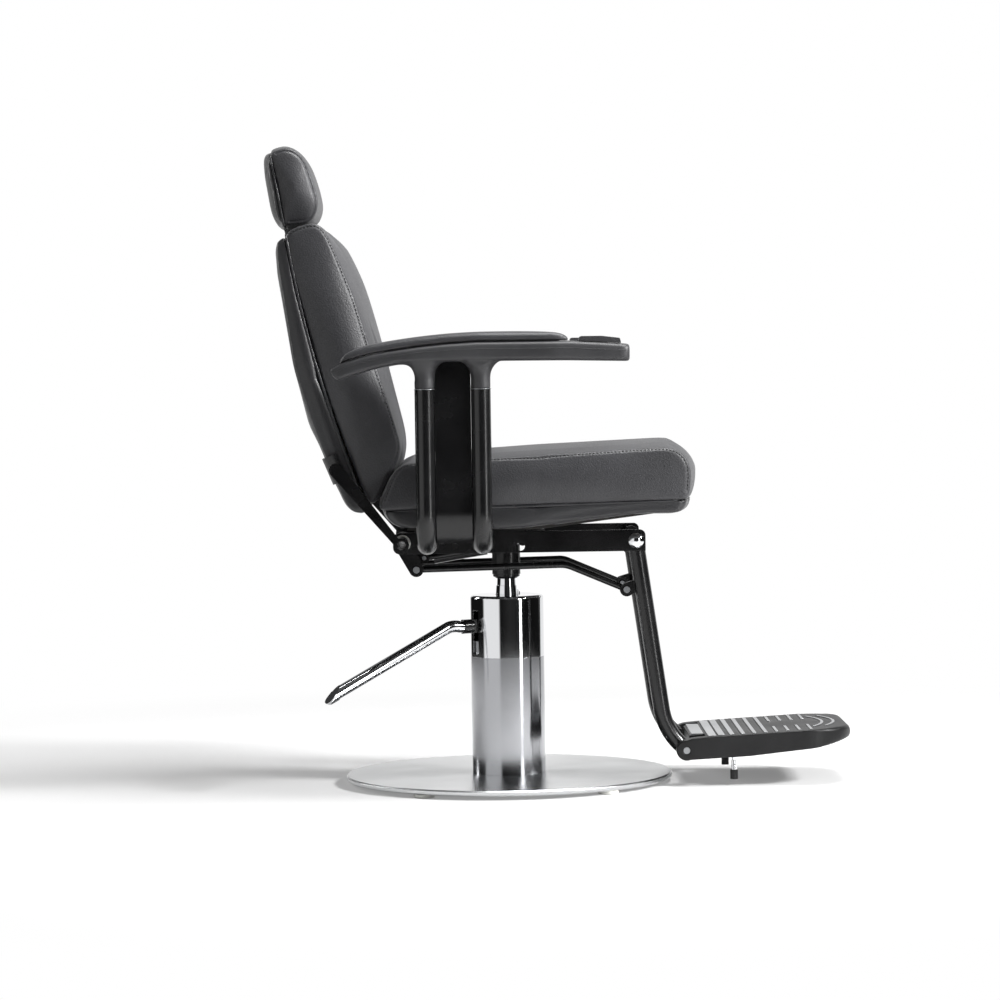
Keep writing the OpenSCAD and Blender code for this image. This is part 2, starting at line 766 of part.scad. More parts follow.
module arm_body(side) {
    stations = [-306, -301, -293, -280, -258, -236, -215, -198, -175, -150, -110, -50, 30, 110,
                170, 207, 214, 219];
    y = side * arm_y;
    color(moulded) difference() {
        union() {
            skin([for (x = stations) arm_ring(x, y)]);
            intersection() {
                union() for (x = [post_back_x, post_front_x]) translate([x, y, 0])
                    rotate_extrude() difference() {
                        translate([0, collar_z]) square([post_d / 2 + flare_r, arm_top - 14 - collar_z]);
                        translate([post_d / 2 + flare_r, arm_under - flare_r + 4]) circle(flare_r);
                        translate([post_d / 2, collar_z - cut_past])
                            square([flare_r + 1, arm_under - flare_r + 4 - collar_z + cut_past]);
                    }
                translate([post_back_x - 90, y - arm_w / 2 + 7, collar_z])
                    cube([post_pitch + 180, arm_w - 14, arm_top - 12 - collar_z]);
            }
        }
        for (x = [post_back_x, post_front_x]) translate([x, y, collar_z - cut_past])
            cylinder(h = 28 + cut_past + soft_gap, d = post_d - 5 + 2 * run_gap);
    }
}

module left_arm_body() { arm_body(LEFT); }
module right_arm_body() { arm_body(RIGHT); }

// Padded top of an armrest, lying on the moulded body
module arm_pad(side) {
    from = -290;
    to = 112;
    high = 17;
    stations = [0, 0.015, 0.05, 0.12, 0.2, 0.3, 0.45, 0.6, 0.75, 0.88, 0.95, 0.985, 1];
    y = side * arm_y;
    n = 16;
    color(leather) skin([for (s = stations)
        let (x = mix(from, to, s), end = pow(max(1 - pow(abs(2 * s - 1), 14), 0.02), 0.5),
             half = (arm_w / 2 - 5) * lookup(x, ARM_WIDE) * (0.55 + 0.45 * end),
             low = arm_top + lookup(x, ARM_TOP) + soft_gap,
             top = high * end * (0.94 + 0.12 * (1 - s)))
        [for (i = [0:n - 1]) let (a = 360 * (i + 0.5) / n, c = cos(a), z = sin(a))
            [x, y - half * sign(c) * pow(abs(c), 0.5),
             low + top * (z < 0 ? 0.22 * (1 - pow(abs(z), 0.5)) : 0.22 + 0.78 * pow(z, 0.6))]]]);
}

module left_arm_pad() { arm_pad(LEFT); }
module right_arm_pad() { arm_pad(RIGHT); }

// Lid set in the front of an armrest
module arm_cap(side) {
    from = 130;
    to = 204;
    high = 8;
    wide = arm_w - 18;
    function top(x) = arm_top + lookup(x, ARM_TOP) + 0.3;
    color(moulded) across(side * arm_y, wide)
        polygon([[170, top(170)],
                 each rounded([[to, top(to), 1], [to - 2, top(to) + high + 1, 3], [from + 40, top(to) + high + 5, 60],
                               [from + 2, top(from) + high, 4], [from, top(from), 1]], 4)]);
}

module left_arm_cap() { arm_cap(LEFT); }
module right_arm_cap() { arm_cap(RIGHT); }

// ---------------------------------------------------------------- pivots on the seat frame

// Clevis under the cross plate for the front end of the gas spring
module spring_anchor() {
    cheek_y = 9.5;
    cheek_t = 5;
    p = [anchor_x, anchor_z];
    color(paint) {
        for (s = SIDES) across(gas_y + s * cheek_y, cheek_t) {
            translate(p) circle(9);
            translate([p.x - 9, p.y]) square([18, rail_top - plate_t - p.y]);
        }
        shaft(p, gas_y, 2 * cheek_y + cheek_t, pin_r);
    }
}

module front_pivots() {
    dome_t = 7;
    washer = rail_in - leg_y - leg_d / 2;
    l = rail_out - leg_y + leg_d / 2;
    color(chrome) for (s = SIDES) {
        shaft([pivot_x, pivot_z], s * (rail_out - l / 2), l, pivot_pin_r);
        shaft([pivot_x, pivot_z], s * (rail_in - washer / 2), washer - 0.3, pivot_pin_r + 4);
        translate([pivot_x, s * rail_out, pivot_z]) rotate([-s * 90, 0, 0]) rotate_extrude()
            intersection() {
                translate([0, dome_t - 18]) circle(18);
                square([cap_dome_r, dome_t]);
            }
    }
}

// Buffers on the rails that the leg tubes rest against
module leg_stops() {
    r = 5;
    gap = 0.3;
    drop = 14;
    edge = leg_d / 2 + r + gap;
    p = [pivot_x, pivot_z] + lean(leg_lean) * drop - [cos(leg_lean), sin(leg_lean)] * edge;
    color(rubber) for (s = SIDES) shaft(p, s * (rail_in - 9), 18, r);
}

// ---------------------------------------------------------------- reclining back

function from_hinge(p) = [hinge_x + p.x, hinge_z + p.y];

module hinge_tube() {
    l = 2 * (bow_y + bow_t / 2 + 2);
    wall = 3;
    color(paint) difference() {
        shaft([hinge_x, hinge_z], 0, l, hinge_r);
        shaft([hinge_x, hinge_z], 0, l + 2 * cut_past, hinge_r - wall);
    }
}

module back_bow() {
    ring_r = 13.5;
    top = from_hinge([-114.5, 136]);
    foot = from_hinge([-7, 4]);
    color(paint) {
        for (s = SIDES) difference() {
            across(s * bow_y, bow_t) {
                link_outline(top, 12.5, foot, 6.5);
                translate([hinge_x, hinge_z]) circle(ring_r);
            }
            shaft([hinge_x, hinge_z], 0, 4 * bow_y, hinge_r + fit_gap);
        }
        translate([hinge_x + band_c.x, 0, hinge_z + band_c.y]) rotate([0, -band_tilt, 0])
            translate([-band_t / 2, 0, 0]) {
                translate([0, -bow_y - bow_t / 2 + band_corner, -band_h / 2])
                    cube([band_t, 2 * bow_y + bow_t - 2 * band_corner, band_h]);
                for (y = [-120, 120], z = [-12, 12]) translate([band_t - cut_past, y, z])
                    rotate([0, 90, 0]) cylinder(h = spacer_l, r = 7);
                for (s = SIDES) translate([band_corner, s * (bow_y + bow_t / 2 - band_corner), -band_h / 2])
                    rotate([0, 0, s > 0 ? 90 : 180]) rotate_extrude(angle = 90)
                        translate([band_corner - band_t, 0]) square([band_t, band_h]);
            }
    }
}

// Levers on the hinge tube that push the link rods
module link_levers() {
    color(paint) for (s = SIDES) difference() {
        across(s * lever_y, lever_t)
            link_outline([hinge_x, hinge_z], 17, from_hinge(lever_pin), 13);
        shaft([hinge_x, hinge_z], 0, frame_w, hinge_r + fit_gap);
        shaft(from_hinge(lever_pin), 0, frame_w, pin_r + fit_gap);
    }
}

module spring_yoke() {
    cheek_y = 9.5;
    cheek_t = 5;
    color(paint) for (s = SIDES) difference() {
        across(gas_y + s * cheek_y, cheek_t)
            link_outline([hinge_x, hinge_z], 16, from_hinge(yoke_pin), 10);
        shaft([hinge_x, hinge_z], 0, frame_w, hinge_r + fit_gap);
        shaft(from_hinge(yoke_pin), 0, frame_w, pin_r + fit_gap);
    }
}

module lever_pins() {
    head = 6;
    head_t = 3;
    l = lever_y + lever_t / 2 - link_y + 8;
    color(steel) {
        for (s = SIDES)
            headed_pin(from_hinge(lever_pin), s * (lever_y + lever_t / 2 - l / 2), l, pin_r, head, head_t, s);
        headed_pin(from_hinge(yoke_pin), gas_y, 24, pin_r, head, head_t, 1);
    }
}

// Directions of the backrest: up its slope, and out of its front
back_lean = 16.6;
up = [-sin(back_lean), cos(back_lean)];
out = [cos(back_lean), sin(back_lean)];
back_foot = [hinge_x - 73, hinge_z + 94];

// Corner a length along the back's slope and a distance in front of its joint line
function on_back(along, front, r) = let (p = back_foot + up * along + out * front) [p.x, p.y, r];

// Front cushion: side outline, and its middle outline when grow is 1
function back_front_outline(grow) = let (c = back_crown * grow) rounded([
    on_back(-38, 5, 8), on_back(-12, 33, 30), on_back(51 - 6 * grow, 91.4 + c * 0.29, 34),
    on_back(195, 84.7 + c * 0.68, 300), on_back(339 + 24 * grow, 78 + c * 1.04, 200),
    on_back(back_l - 80 + 24 * grow, 70 + c * 0.88, 50), on_back(back_l - 30 * grow, 62.5 + c * 0.68, 14),
    on_back(back_l - 19, -0.5 + 13 * (1 - grow), 5),
    on_back(400, -1.7 + 4 * (1 - grow), 200), on_back(200, -5.4, 500)], 4);

module back_cushion() {
    color(leather) difference() {
        padded(back_front_outline(0), back_front_outline(1), back_w, 9, 8, 0.7, 4);
        back_board_space(soft_gap);
        channel_space(soft_gap);
    }
}

// Rear shell: its side outline, and its middle outline when grow is 1
function back_rear_outline(grow) = rounded([
    on_back(-35, 1.5, 3), on_back(200, -7, 500), on_back(400, -3.8 + 4 * (1 - grow), 200),
    on_back(back_l - 22, -2.6 + 13 * (1 - grow), 2),
    on_back(back_l - 32 + 3 * grow, -12 - 9 * grow, 7), on_back(250, -44.4 - 4 * grow, 200),
    on_back(141, -44 - 12 * grow, 40), on_back(86, -41 - 2.5 * grow, 40),
    on_back(-18, -31 - 8.5 * grow, 20), on_back(-38, -18 - 4 * grow, 8)], 4);

module back_shell() {
    color(leather_light) difference() {
        padded(back_rear_outline(0), back_rear_outline(1), back_w - 6, 9);
        back_board_space(soft_gap);
        along_band() for (y = [-120, 120], z = [-12, 12]) translate([0, y, z])
            rotate([0, 90, 0]) cylinder(h = 60, r = 7.6);
        along_band() band_slot();
    }
}

// Slot that the bow's band lies in, deeper at the two ends where the band turns forwards
module band_slot() {
    behind = 30;
    side_gap = 1.5;
    end_y = bow_y + bow_t / 2 - band_corner - 3;
    translate([-behind, -bow_y - 20, -band_h / 2 - side_gap])
        cube([behind + band_t + 0.7, 2 * bow_y + 40, band_h + 2 * side_gap]);
    for (s = SIDES) translate([-behind, s * (end_y + 20) - 20, -band_h / 2 - side_gap])
        cube([behind + band_corner + 2, 40, band_h + 2 * side_gap]);
}

// Places a part drawn with its outer face at x = 0 and its middle at z = 0 on the bow's band
module along_band() {
    translate([hinge_x + band_c.x, 0, hinge_z + band_c.y]) rotate([0, -band_tilt, 0])
        translate([-band_t / 2, 0, 0]) children();
}

// Space of the flat board behind the joint line, swollen by gap on all sides
module back_board_space(gap) {
    long = back_l - 120;
    p = on_back(20, -9 - board_t / 2, 0);
    translate([p.x, 0, p.y]) rotate([0, -back_lean, 0])
        translate([-board_t / 2 - gap, -back_w / 2 + 40 - gap, -gap])
            cube([board_t + 2 * gap, back_w - 80 + 2 * gap, long + 2 * gap]);
}

// Board in the backrest, with pockets for the bow's spacers
module back_board() {
    color("#262421") difference() {
        back_board_space(0);
        along_band() for (y = [-120, 120], z = [-12, 12]) translate([0, y, z])
            rotate([0, 90, 0]) cylinder(h = band_t - cut_past + spacer_l + fit_gap, r = 7 + fit_gap);
    }
}

// Places a part drawn along +Z so that it slides with the headrest's post; z = 0 is where
// the post comes out of the backrest
module along_post() {
    translate([hinge_x - 206, 0, hinge_z + 571]) rotate([0, -head_lean, 0]) children();
}

// Space of the headrest's steel channel, swollen by gap on all sides
module channel_space(gap) {
    wide = post_w + 2 * (channel_wall + slide_gap + gap);
    deep = post_t + 2 * (channel_wall + slide_gap + gap);
    along_post() translate([-deep / 2, -wide / 2, -17 - channel_l - gap])
        cube([deep, wide, channel_l + 40]);
}

module headrest_channel() {
    wide = post_w + 2 * (channel_wall + slide_gap);
    deep = post_t + 2 * (channel_wall + slide_gap);
    color(steel) along_post() translate([0, 0, -17 - channel_l]) difference() {
        translate([-deep / 2, -wide / 2, 0]) cube([deep, wide, channel_l]);
        translate([-deep / 2 + channel_wall, -wide / 2 + channel_wall, channel_wall])
            cube([post_t + 2 * slide_gap, post_w + 2 * slide_gap, channel_l]);
    }
}

// ---------------------------------------------------------------- headrest

// Directions of the headrest's joint line
pad_lean = 10.2;
pad_foot = [hinge_x - 206, hinge_z + 582];

// Corner a length along the headrest's joint line and a distance in front of it
function on_head(along, front, r) =
    let (p = pad_foot + along * [-sin(pad_lean), cos(pad_lean)] + front * [cos(pad_lean), sin(pad_lean)])
    [p.x, p.y, r];

module headrest_post() {
    color(steel) along_post() translate([-post_t / 2, -post_w / 2, 2 - 17 - channel_l + channel_wall])
        cube([post_t, post_w, channel_l + 13 + post_grip]);
}

// Slot that holds the top of the post in the headrest
module post_space(gap) {
    along_post() translate([-post_t / 2 - gap, -post_w / 2 - gap, -40])
        cube([post_t + 2 * gap, post_w + 2 * gap, 40 + post_grip + gap]);
}

// Front cushion: side outline, and its middle outline when grow is 1
function head_front_outline(grow) = rounded([
    on_head(-6 - 9 * grow, 1, 4), on_head(-12 - 7 * grow, head_t - 16 - 10 * grow, 18),
    on_head(20 - 12 * grow, head_t, 30), on_head(56 - 6 * grow, head_t - 1.5, 60),
    on_head(head_h - 26 + 4 * grow, head_t - 10 + 2 * grow, 30),
    on_head(head_h - 1 + 11 * grow, head_t - 36, 22), on_head(head_h - 11 + 17 * grow, 0.4, 6)], 5);

module headrest_cushion() {
    color(leather) difference() {
        padded(head_front_outline(0), head_front_outline(1), head_w, 9, 5);
        post_space(soft_gap);
    }
}

// Rear shell of the headrest: side outline, and its middle outline when grow is 1
function head_rear_outline(grow) = rounded([
    on_head(-5 - 9 * grow, 0.4, 2), on_head(head_h - 12 + 17 * grow, -0.2, 2),
    on_head(head_h - 14 + 11 * grow, -9 - 11 * grow, 8), on_head(90, -10 - 15 * grow, 40),
    on_head(20, -10 - 14 * grow, 20), on_head(1 - 9 * grow, -7 - 7 * grow, 7)], 4);

module headrest_shell() {
    color(leather_light) difference() {
        padded(head_rear_outline(0), head_rear_outline(1), head_w - 3, 5);
        post_space(soft_gap);
    }
}

// ---------------------------------------------------------------- linkage

function front_pin() = [pivot_x + lug_pin.x, pivot_z + lug_pin.y];

module link_rods() {
    eye_t = 13;
    eye_r = 11;
    back = from_hinge(lever_pin);
    front = front_pin();
    bend = [back.x + 272, back.y + 5];
    color(paint) for (s = SIDES) difference() {
        union() {
            translate([0, s * link_y, 0])
                bent_bar([back + [8, 0], bend, front + unit(bend - front) * 8], link_d, 45);
            across(s * link_y, eye_t) {
                translate(back) circle(eye_r);
                translate(front) circle(eye_r);
            }
        }
        shaft(back, 0, frame_w, pin_r + run_gap);
        shaft(front, 0, frame_w, pin_r + open_gap);
    }
}

gas_from = from_hinge(yoke_pin);
gas_to = [anchor_x, anchor_z];
gas_way = unit(gas_to - gas_from);
gas_l = norm(gas_to - gas_from);
gas_body_l = 98;

// Places a part that is drawn along +Z from the rear pin of the gas spring
module along_spring() {
    translate([gas_from.x, gas_y, gas_from.y]) rotate([0, atan2(gas_way.x, gas_way.y), 0]) children();
}

module gas_cylinder() {
    start = 17;
    wall = 1.5;
    color(paint) difference() {
        union() {
            shaft(gas_from, gas_y, 13, 8.5);
            along_spring() {
                cylinder(h = start + 4, r = 6);
                translate([0, 0, start]) cylinder(h = gas_body_l, r = gas_r);
            }
        }
        shaft(gas_from, gas_y, 30, pin_r + run_gap);
        along_spring() {
            translate([0, 0, start + 8]) cylinder(h = gas_body_l - 14, r = gas_r - wall);
            translate([0, 0, start + 8]) cylinder(h = gas_body_l, r = gas_mouth_r);
        }
    }
}

module gas_rod() {
    piston = 10;
    color(chrome) difference() {
        union() {
            shaft(gas_to, gas_y, 13, 8.5);
            along_spring() {
                translate([0, 0, 70]) cylinder(h = gas_l - 70 - 2, r = gas_rod_r);
                translate([0, 0, 66]) cylinder(h = 8, r = piston - 0.6);
            }
        }
        shaft(gas_to, gas_y, 30, pin_r + run_gap);
    }
}

// ---------------------------------------------------------------- leg rest

// How far the footrest hinge lies along the tubes' straight part, and in front of it
foot_along = leg_reach * sin(leg_lean) + leg_drop * cos(leg_lean);
foot_out = leg_reach * cos(leg_lean) - leg_drop * sin(leg_lean);
leg_bend = (pow(foot_along - leg_straight, 2) + pow(foot_out, 2)) / (2 * foot_out);
leg_sweep = asin((foot_along - leg_straight) / leg_bend);

// Leg tube of diameter d from the front pivot down: a straight part, then one bend
module leg_tube(d, from, sweep) {
    translate([0, 0, -leg_straight]) cylinder(h = leg_straight - from, d = d);
    translate([leg_bend, 0, -leg_straight]) rotate([90, 0, 0]) rotate([0, 0, 180])
        rotate_extrude(angle = sweep) translate([leg_bend, 0]) circle(d = d);
}

module leg_frame() {
    sleeve_l = leg_d;
    top = [pivot_x, pivot_z];
    foot = [foot_x, foot_z];
    cross = top + lean(leg_lean) * 92;
    color(paint) {
        for (s = SIDES) difference() {
            union() {
                translate([pivot_x, s * leg_y, pivot_z]) rotate([0, -leg_lean, 0])
                    leg_tube(leg_d, 0, leg_sweep);
                shaft(top, s * leg_y, sleeve_l, leg_d / 2 + 0.6);
                shaft(foot, s * leg_y, sleeve_l, leg_d / 2 + 0.6);
                across(s * lever_y, lever_t)
                    link_outline(front_pin(), 12.5, [cross.x - 3, cross.y + 12], 9);
            }
            translate([pivot_x, s * leg_y, pivot_z]) rotate([0, -leg_lean, 0])
                leg_tube(leg_d - 2 * leg_wall, 22, leg_sweep - 12);
            shaft(top, s * leg_y, 2 * leg_d, pivot_pin_r + run_gap);
            shaft(foot, s * leg_y, 2 * leg_d, foot_pin_r + fit_gap);
            shaft(front_pin(), s * lever_y, 2 * lever_t, pin_r + fit_gap);
        }
        shaft(cross, 0, 2 * leg_y - leg_d + 4, 10);
    }
}

module lug_pins() {
    l = lever_y + lever_t / 2 - link_y + 8;
    color(steel) for (s = SIDES)
        headed_pin(front_pin(), s * (lever_y + lever_t / 2 - l / 2), l, pin_r, 6, 3, s);
}

// ---------------------------------------------------------------- footrest

// Everything here is measured from the footrest hinge
module at_foot() {
    translate([foot_x, 0, foot_z]) children();
}

foot_in = leg_y + leg_d / 2 + 1.5;
notch_in = leg_y - leg_d / 2 - 3;
tread_from = 36;
tread_z = 24;
tread_slope = 0.051;
bar_first = 60;
bar_pitch = 20.8;
bar_deep = 2;
bar_proud = 1;
function tread_at(x) = tread_z + (x - tread_from) * tread_slope;

module footrest_body() {
    half = foot_w / 2;
    nose_r = 80;
    wall = 10;
    roof = [[46, -30], [250, -30], [250, 25], [120, 17], [46, 13]];
    at_foot() color(moulded) difference() {
        union() {
            difference() {
              intersection() {
                across(0, foot_w) polygon(rounded([[0, 0.9 - boss_r, 1], [112, -12, 150], [246, 2, 90],
                    [foot_l + 1, 17, 9], [foot_l - 10, tread_at(foot_l), 10], [tread_from, tread_z, 1],
                    [10, 21.5, 1], [0, boss_r - 0.6, 1]], 4));
                linear_extrude(6 * boss_r, center = true)
                    polygon(rounded([[-20, -half, 1], [foot_l - 12, -half, nose_r], [foot_l + 1, 0, 300],
                                     [foot_l - 12, half, nose_r], [-20, half, 1]], 12));
              }
              across(0, 2 * (half - wall)) polygon(roof);
            }
            for (s = SIDES) translate([peg_x, s * peg_y, -10]) cylinder(h = 28, r = 8);
            for (s = SIDES) shaft([0, 0], s * (half - flange_t / 2), flange_t, boss_r);
        }
        for (s = SIDES) shaft([0, 0], s * (half - flange_t / 2), 2 * flange_t, foot_pin_r + run_gap);
        translate([-30, -foot_in, -40]) cube([38, 2 * foot_in, 80]);
        for (s = SIDES) translate([-30, s * (foot_in + notch_in) / 2 - (foot_in - notch_in) / 2, -40])
            cube([66, foot_in - notch_in, 80]);
        for (s = SIDES) translate([peg_x, s * peg_y, -10 - cut_past])
            cylinder(h = 19 + cut_past + fit_gap, r = 4 + fit_gap);
        tread_bars(fit_gap);
    }
}

// One tread bar from x, its length along Y centred on y, swollen by gap on all sides
module bar(x, wide, y, long, gap) {
    z = tread_at(x + wide / 2) - bar_deep;
    translate([x - gap, y - long / 2 - gap, z - gap])
        cube([wide + 2 * gap, long + 2 * gap, bar_deep + bar_proud + 2 * gap]);
}

// The bars: a wide one by the hinge, full ones that get narrower, pairs, and two bowed ones
module tread_bars(gap) {
    long = foot_w - 26;
    bar(12, 22, 0, 2 * notch_in - 8, gap);
    bar(39.5, 15, 0, long, gap);
    for (i = [0:4]) bar(bar_first - 2 + i * bar_pitch, 5 + 7 / (1 + i), 0, long, gap);
    for (i = [5:8], s = SIDES) bar(bar_first - 2 + i * bar_pitch, 5, s * 90, 84, gap);
    for (i = [9, 10]) bowed_bar(bar_first + 8 + i * bar_pitch, 5, gap);
}

module bowed_bar(x, wide, gap) {
    r = 190;
    z = tread_at(x - 8) - bar_deep;
    intersection() {
        translate([x - r, 0, z - gap]) difference() {
            cylinder(h = bar_deep + bar_proud + 2 * gap, r = r + wide + gap);
            translate([0, 0, -cut_past]) cylinder(h = 3 * cut_past + 9, r = r - gap);
        }
        translate([x - r / 2, -88 - gap, 0]) cube([r, 176 + 2 * gap, 90]);
    }
}

module footrest_tread() {
    at_foot() color(chrome) tread_bars(0);
}

module footrest_pins() {
    l = foot_w / 2 - 1 - (leg_y - leg_d / 2);
    at_foot() color(steel) for (s = SIDES)
        shaft([0, 0], s * (foot_w / 2 - 1 - l / 2), l, foot_pin_r);
}

module foot_pegs() {
    at_foot() color(chrome) for (s = SIDES) translate([peg_x, s * peg_y, -peg_l + 9]) {
        cylinder(h = peg_l, r = 4);
        translate([0, 0, 8]) cylinder(h = 18, r1 = 5.5, r2 = 4.5);
    }
}

module peg_tips() {
    at_foot() color(rubber) for (s = SIDES) translate([peg_x, s * peg_y, -peg_l]) difference() {
        cylinder(h = 17, r = 7);
        translate([0, 0, 9 - fit_gap]) cylinder(h = 10, r = 4 + 1.6);
    }
}

// ---------------------------------------------------------------- nodes

base_plate();
base_glides();
column_tube();
column_cap();
pump_tank();
pump_barrel();
pump_head();
guide_bush();
fill_screw();
pedal_pin();
pedal_arm();
pedal_tube();
pump_plunger();
piston_rod();
piston_seal();
swivel_hub();
left_rail();
right_rail();
cross_plate();
hinge_bushes();
frame_bolts();
seat_plate();
seat_board();
seat_skirt();
seat_cushion();
left_arm_posts();
right_arm_posts();
left_arm_panel();
right_arm_panel();
left_arm_body();
right_arm_body();
left_arm_pad();
right_arm_pad();
left_arm_cap();
right_arm_cap();
spring_anchor();
front_pivots();
leg_stops();
hinge_tube();
back_bow();
link_levers();
spring_yoke();
lever_pins();
back_board();
back_shell();
back_cushion();
headrest_channel();
headrest_post();
headrest_shell();
headrest_cushion();
link_rods();
gas_cylinder();
gas_rod();
leg_frame();
lug_pins();
footrest_body();
footrest_tread();
footrest_pins();
foot_pegs();
peg_tips();
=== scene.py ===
# %% [markdown]
# # A hydraulic barber chair, dressed over its CAD frame
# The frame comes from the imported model: every rigid part is already there at its real size.
# This notebook adds what CAD solids don't show well: padded leather, seams, stitches, piping,
# the moulded arms, and a finish for every surface. All lengths are worked out in millimetres
# from the same measurements as the solids and are turned into metres at the last step.

# %% Load the frame
import json
import math
import bpy
from mathutils import Matrix, Vector
from mathutils.bvhtree import BVHTree
from mathutils.kdtree import KDTree


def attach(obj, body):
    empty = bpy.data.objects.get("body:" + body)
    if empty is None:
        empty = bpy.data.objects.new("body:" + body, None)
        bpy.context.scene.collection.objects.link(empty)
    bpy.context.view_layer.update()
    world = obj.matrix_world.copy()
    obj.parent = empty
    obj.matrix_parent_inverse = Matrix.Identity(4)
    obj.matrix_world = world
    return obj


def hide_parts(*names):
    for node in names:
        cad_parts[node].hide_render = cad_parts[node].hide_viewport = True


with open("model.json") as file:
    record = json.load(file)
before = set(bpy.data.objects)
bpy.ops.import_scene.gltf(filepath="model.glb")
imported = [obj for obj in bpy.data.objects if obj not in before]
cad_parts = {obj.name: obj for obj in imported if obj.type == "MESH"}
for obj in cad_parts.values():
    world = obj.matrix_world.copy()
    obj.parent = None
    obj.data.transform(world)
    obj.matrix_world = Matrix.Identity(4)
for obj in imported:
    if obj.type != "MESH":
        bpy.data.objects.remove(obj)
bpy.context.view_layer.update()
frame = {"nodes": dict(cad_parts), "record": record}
scene = bpy.context.scene
scene.view_settings.view_transform = "Standard"
MM = 0.001
bpy.ops.object.select_all(action="DESELECT")

# %% [markdown]
# ## Camera
# A long lens from the side keeps the chair almost without perspective, so its profile reads
# like a drawing. The camera stands well back at about arm height and looks slightly down, so
# that the disc shows a little of its top. It is turned and tilted by less than a degree.

# %% The camera
yaw, pitch, roll = 0.43, 2.28, 0.85
stand = (-0.060, -6.700, 0.786)
lens = bpy.data.cameras.new("side_camera")
lens.lens = 131.1
lens.sensor_width = 36
lens.clip_end = 60
camera = bpy.data.objects.new("side_camera", lens)
scene.collection.objects.link(camera)
camera.matrix_world = (Matrix.Translation(stand)
                       @ Matrix.Rotation(math.radians(-yaw), 4, "Z")
                       @ Matrix.Rotation(math.radians(90 - pitch), 4, "X")
                       @ Matrix.Rotation(math.radians(-roll), 4, "Z"))
scene.camera = camera

# %% [markdown]
# ## Colours and nodes
# Colours are written as the sRGB hex values that the eye sees, and one function turns them
# into the linear values that the renderer needs. One more function adds a shader node with
# its settings and its links, so that a material reads as a short list of steps.

# %% Colour and node helpers
def linear(code):
    """Linear RGBA from an sRGB hex code."""
    parts = [int(code[i:i + 2], 16) / 255 for i in (1, 3, 5)]
    return [c / 12.92 if c <= 0.04045 else ((c + 0.055) / 1.055) ** 2.4 for c in parts] + [1]


def add(tree, kind, settings=None, **sockets):
    """Adds a node. settings are its own properties; each socket gets a value or a link."""
    made = tree.nodes.new("ShaderNode" + kind)
    for name, value in (settings or {}).items():
        setattr(made, name, value)
    for name, value in sockets.items():
        place = int(name[1:]) if name[0] == "i" and name[1:].isdigit() else name.replace("_", " ")
        if isinstance(value, bpy.types.NodeSocket):
            tree.links.new(value, made.inputs[place])
        else:
            made.inputs[place].default_value = value
    return made


def ramp(tree, factor, *stops):
    """A colour ramp from (place, hex code) stops."""
    made = add(tree, "ValToRGB", i0=factor)
    points = made.color_ramp.elements
    while len(points) < len(stops):
        points.new(0.5)
    for point, (place, code) in zip(points, stops):
        point.position = place
        point.color = linear(code)
    return made.outputs[0]


def finish(name):
    """A new material: its node tree and its surface shader."""
    made = bpy.data.materials.new(name)
    made.use_nodes = True
    tree = made.node_tree
    tree.nodes.clear()
    surface = add(tree, "BsdfPrincipled")
    tree.links.new(surface.outputs[0], add(tree, "OutputMaterial").inputs[0])
    return made, tree, surface


def per_mm(size):
    """Pattern scale on Object coordinates for features of this size in millimetres."""
    return 1000 / size


def feed(tree, surface, **links):
    """Gives inputs of a surface shader a value or a link."""
    for name, value in links.items():
        place = surface.inputs[name.replace("_", " ")]
        if isinstance(value, bpy.types.NodeSocket):
            tree.links.new(value, place)
        else:
            place.default_value = value


# %% [markdown]
# ## Leather
# Barber chairs wear a wipe-clean upholstery hide: finely pebbled, satin, and charcoal rather
# than black. Pebbles of about 2.6 mm come from Voronoi cells, with finer noise between them.
# Real grain is nearer 0.8 mm; it is drawn coarser so that it still shows at this distance.
# The colour drifts a little from place to place, and the shine varies with the finer noise.

# %% Leather
def leather(name, dark, light, gloss, depth):
    made, tree, surface = finish(name)
    where = add(tree, "TexCoord").outputs["Object"]
    cells = add(tree, "TexVoronoi", {"feature": "SMOOTH_F1"},
                Vector=where, Scale=per_mm(2.6)).outputs["Distance"]
    fine = add(tree, "TexNoise", Vector=where, Scale=per_mm(2.0), Detail=3.0).outputs["Fac"]
    broad = add(tree, "TexNoise", Vector=where, Scale=per_mm(90), Detail=2.0).outputs["Fac"]
    grain = add(tree, "Math", {"operation": "MULTIPLY_ADD"}, i0=fine, i1=0.45, i2=cells).outputs[0]
    mixed = add(tree, "Math", {"operation": "MULTIPLY_ADD"}, i0=fine, i1=0.6, i2=broad).outputs[0]
    share = add(tree, "MapRange", Value=mixed, i1=0.2, i2=1.4).outputs[0]
    colour = ramp(tree, share, (0.0, dark), (1.0, light))
    shine = add(tree, "MapRange", Value=fine, i1=0.3, i2=0.7, i3=gloss - 0.06, i4=gloss + 0.08).outputs[0]
    bump = add(tree, "Bump", Height=grain, Strength=0.42, Distance=depth * MM).outputs[0]
    feed(tree, surface, Base_Color=colour, Roughness=shine, Normal=bump, Specular_IOR_Level=0.5,
         Sheen_Weight=0.06, Sheen_Roughness=0.4)
    return made


hide = leather("pebbled upholstery leather", "#262628", "#424245", 0.46, 0.9)
cover = leather("smooth leather cover", "#1f1f21", "#333335", 0.40, 0.5)
print("leather", hide.name, "and", cover.name)

# %% [markdown]
# ## Metals
# Three metals meet here. The piston, the upper cover and the caps are chrome plate: almost a
# mirror, with faint wiping marks. The lower cover and the disc are brushed stainless steel,
# whose fine grooves spread a reflection across them; on the disc they run in circles, so the
# light opens into a fan. Turned and zinc-plated fasteners are duller. The grooves are drawn
# about 0.4 mm apart, coarser than real 240-grit lines, so that they show. A Bevel node eases
# every sharp edge by half a millimetre or more, as polishing does, so that edges catch light.
# The bent pedal bar is round nearly everywhere and goes without it.

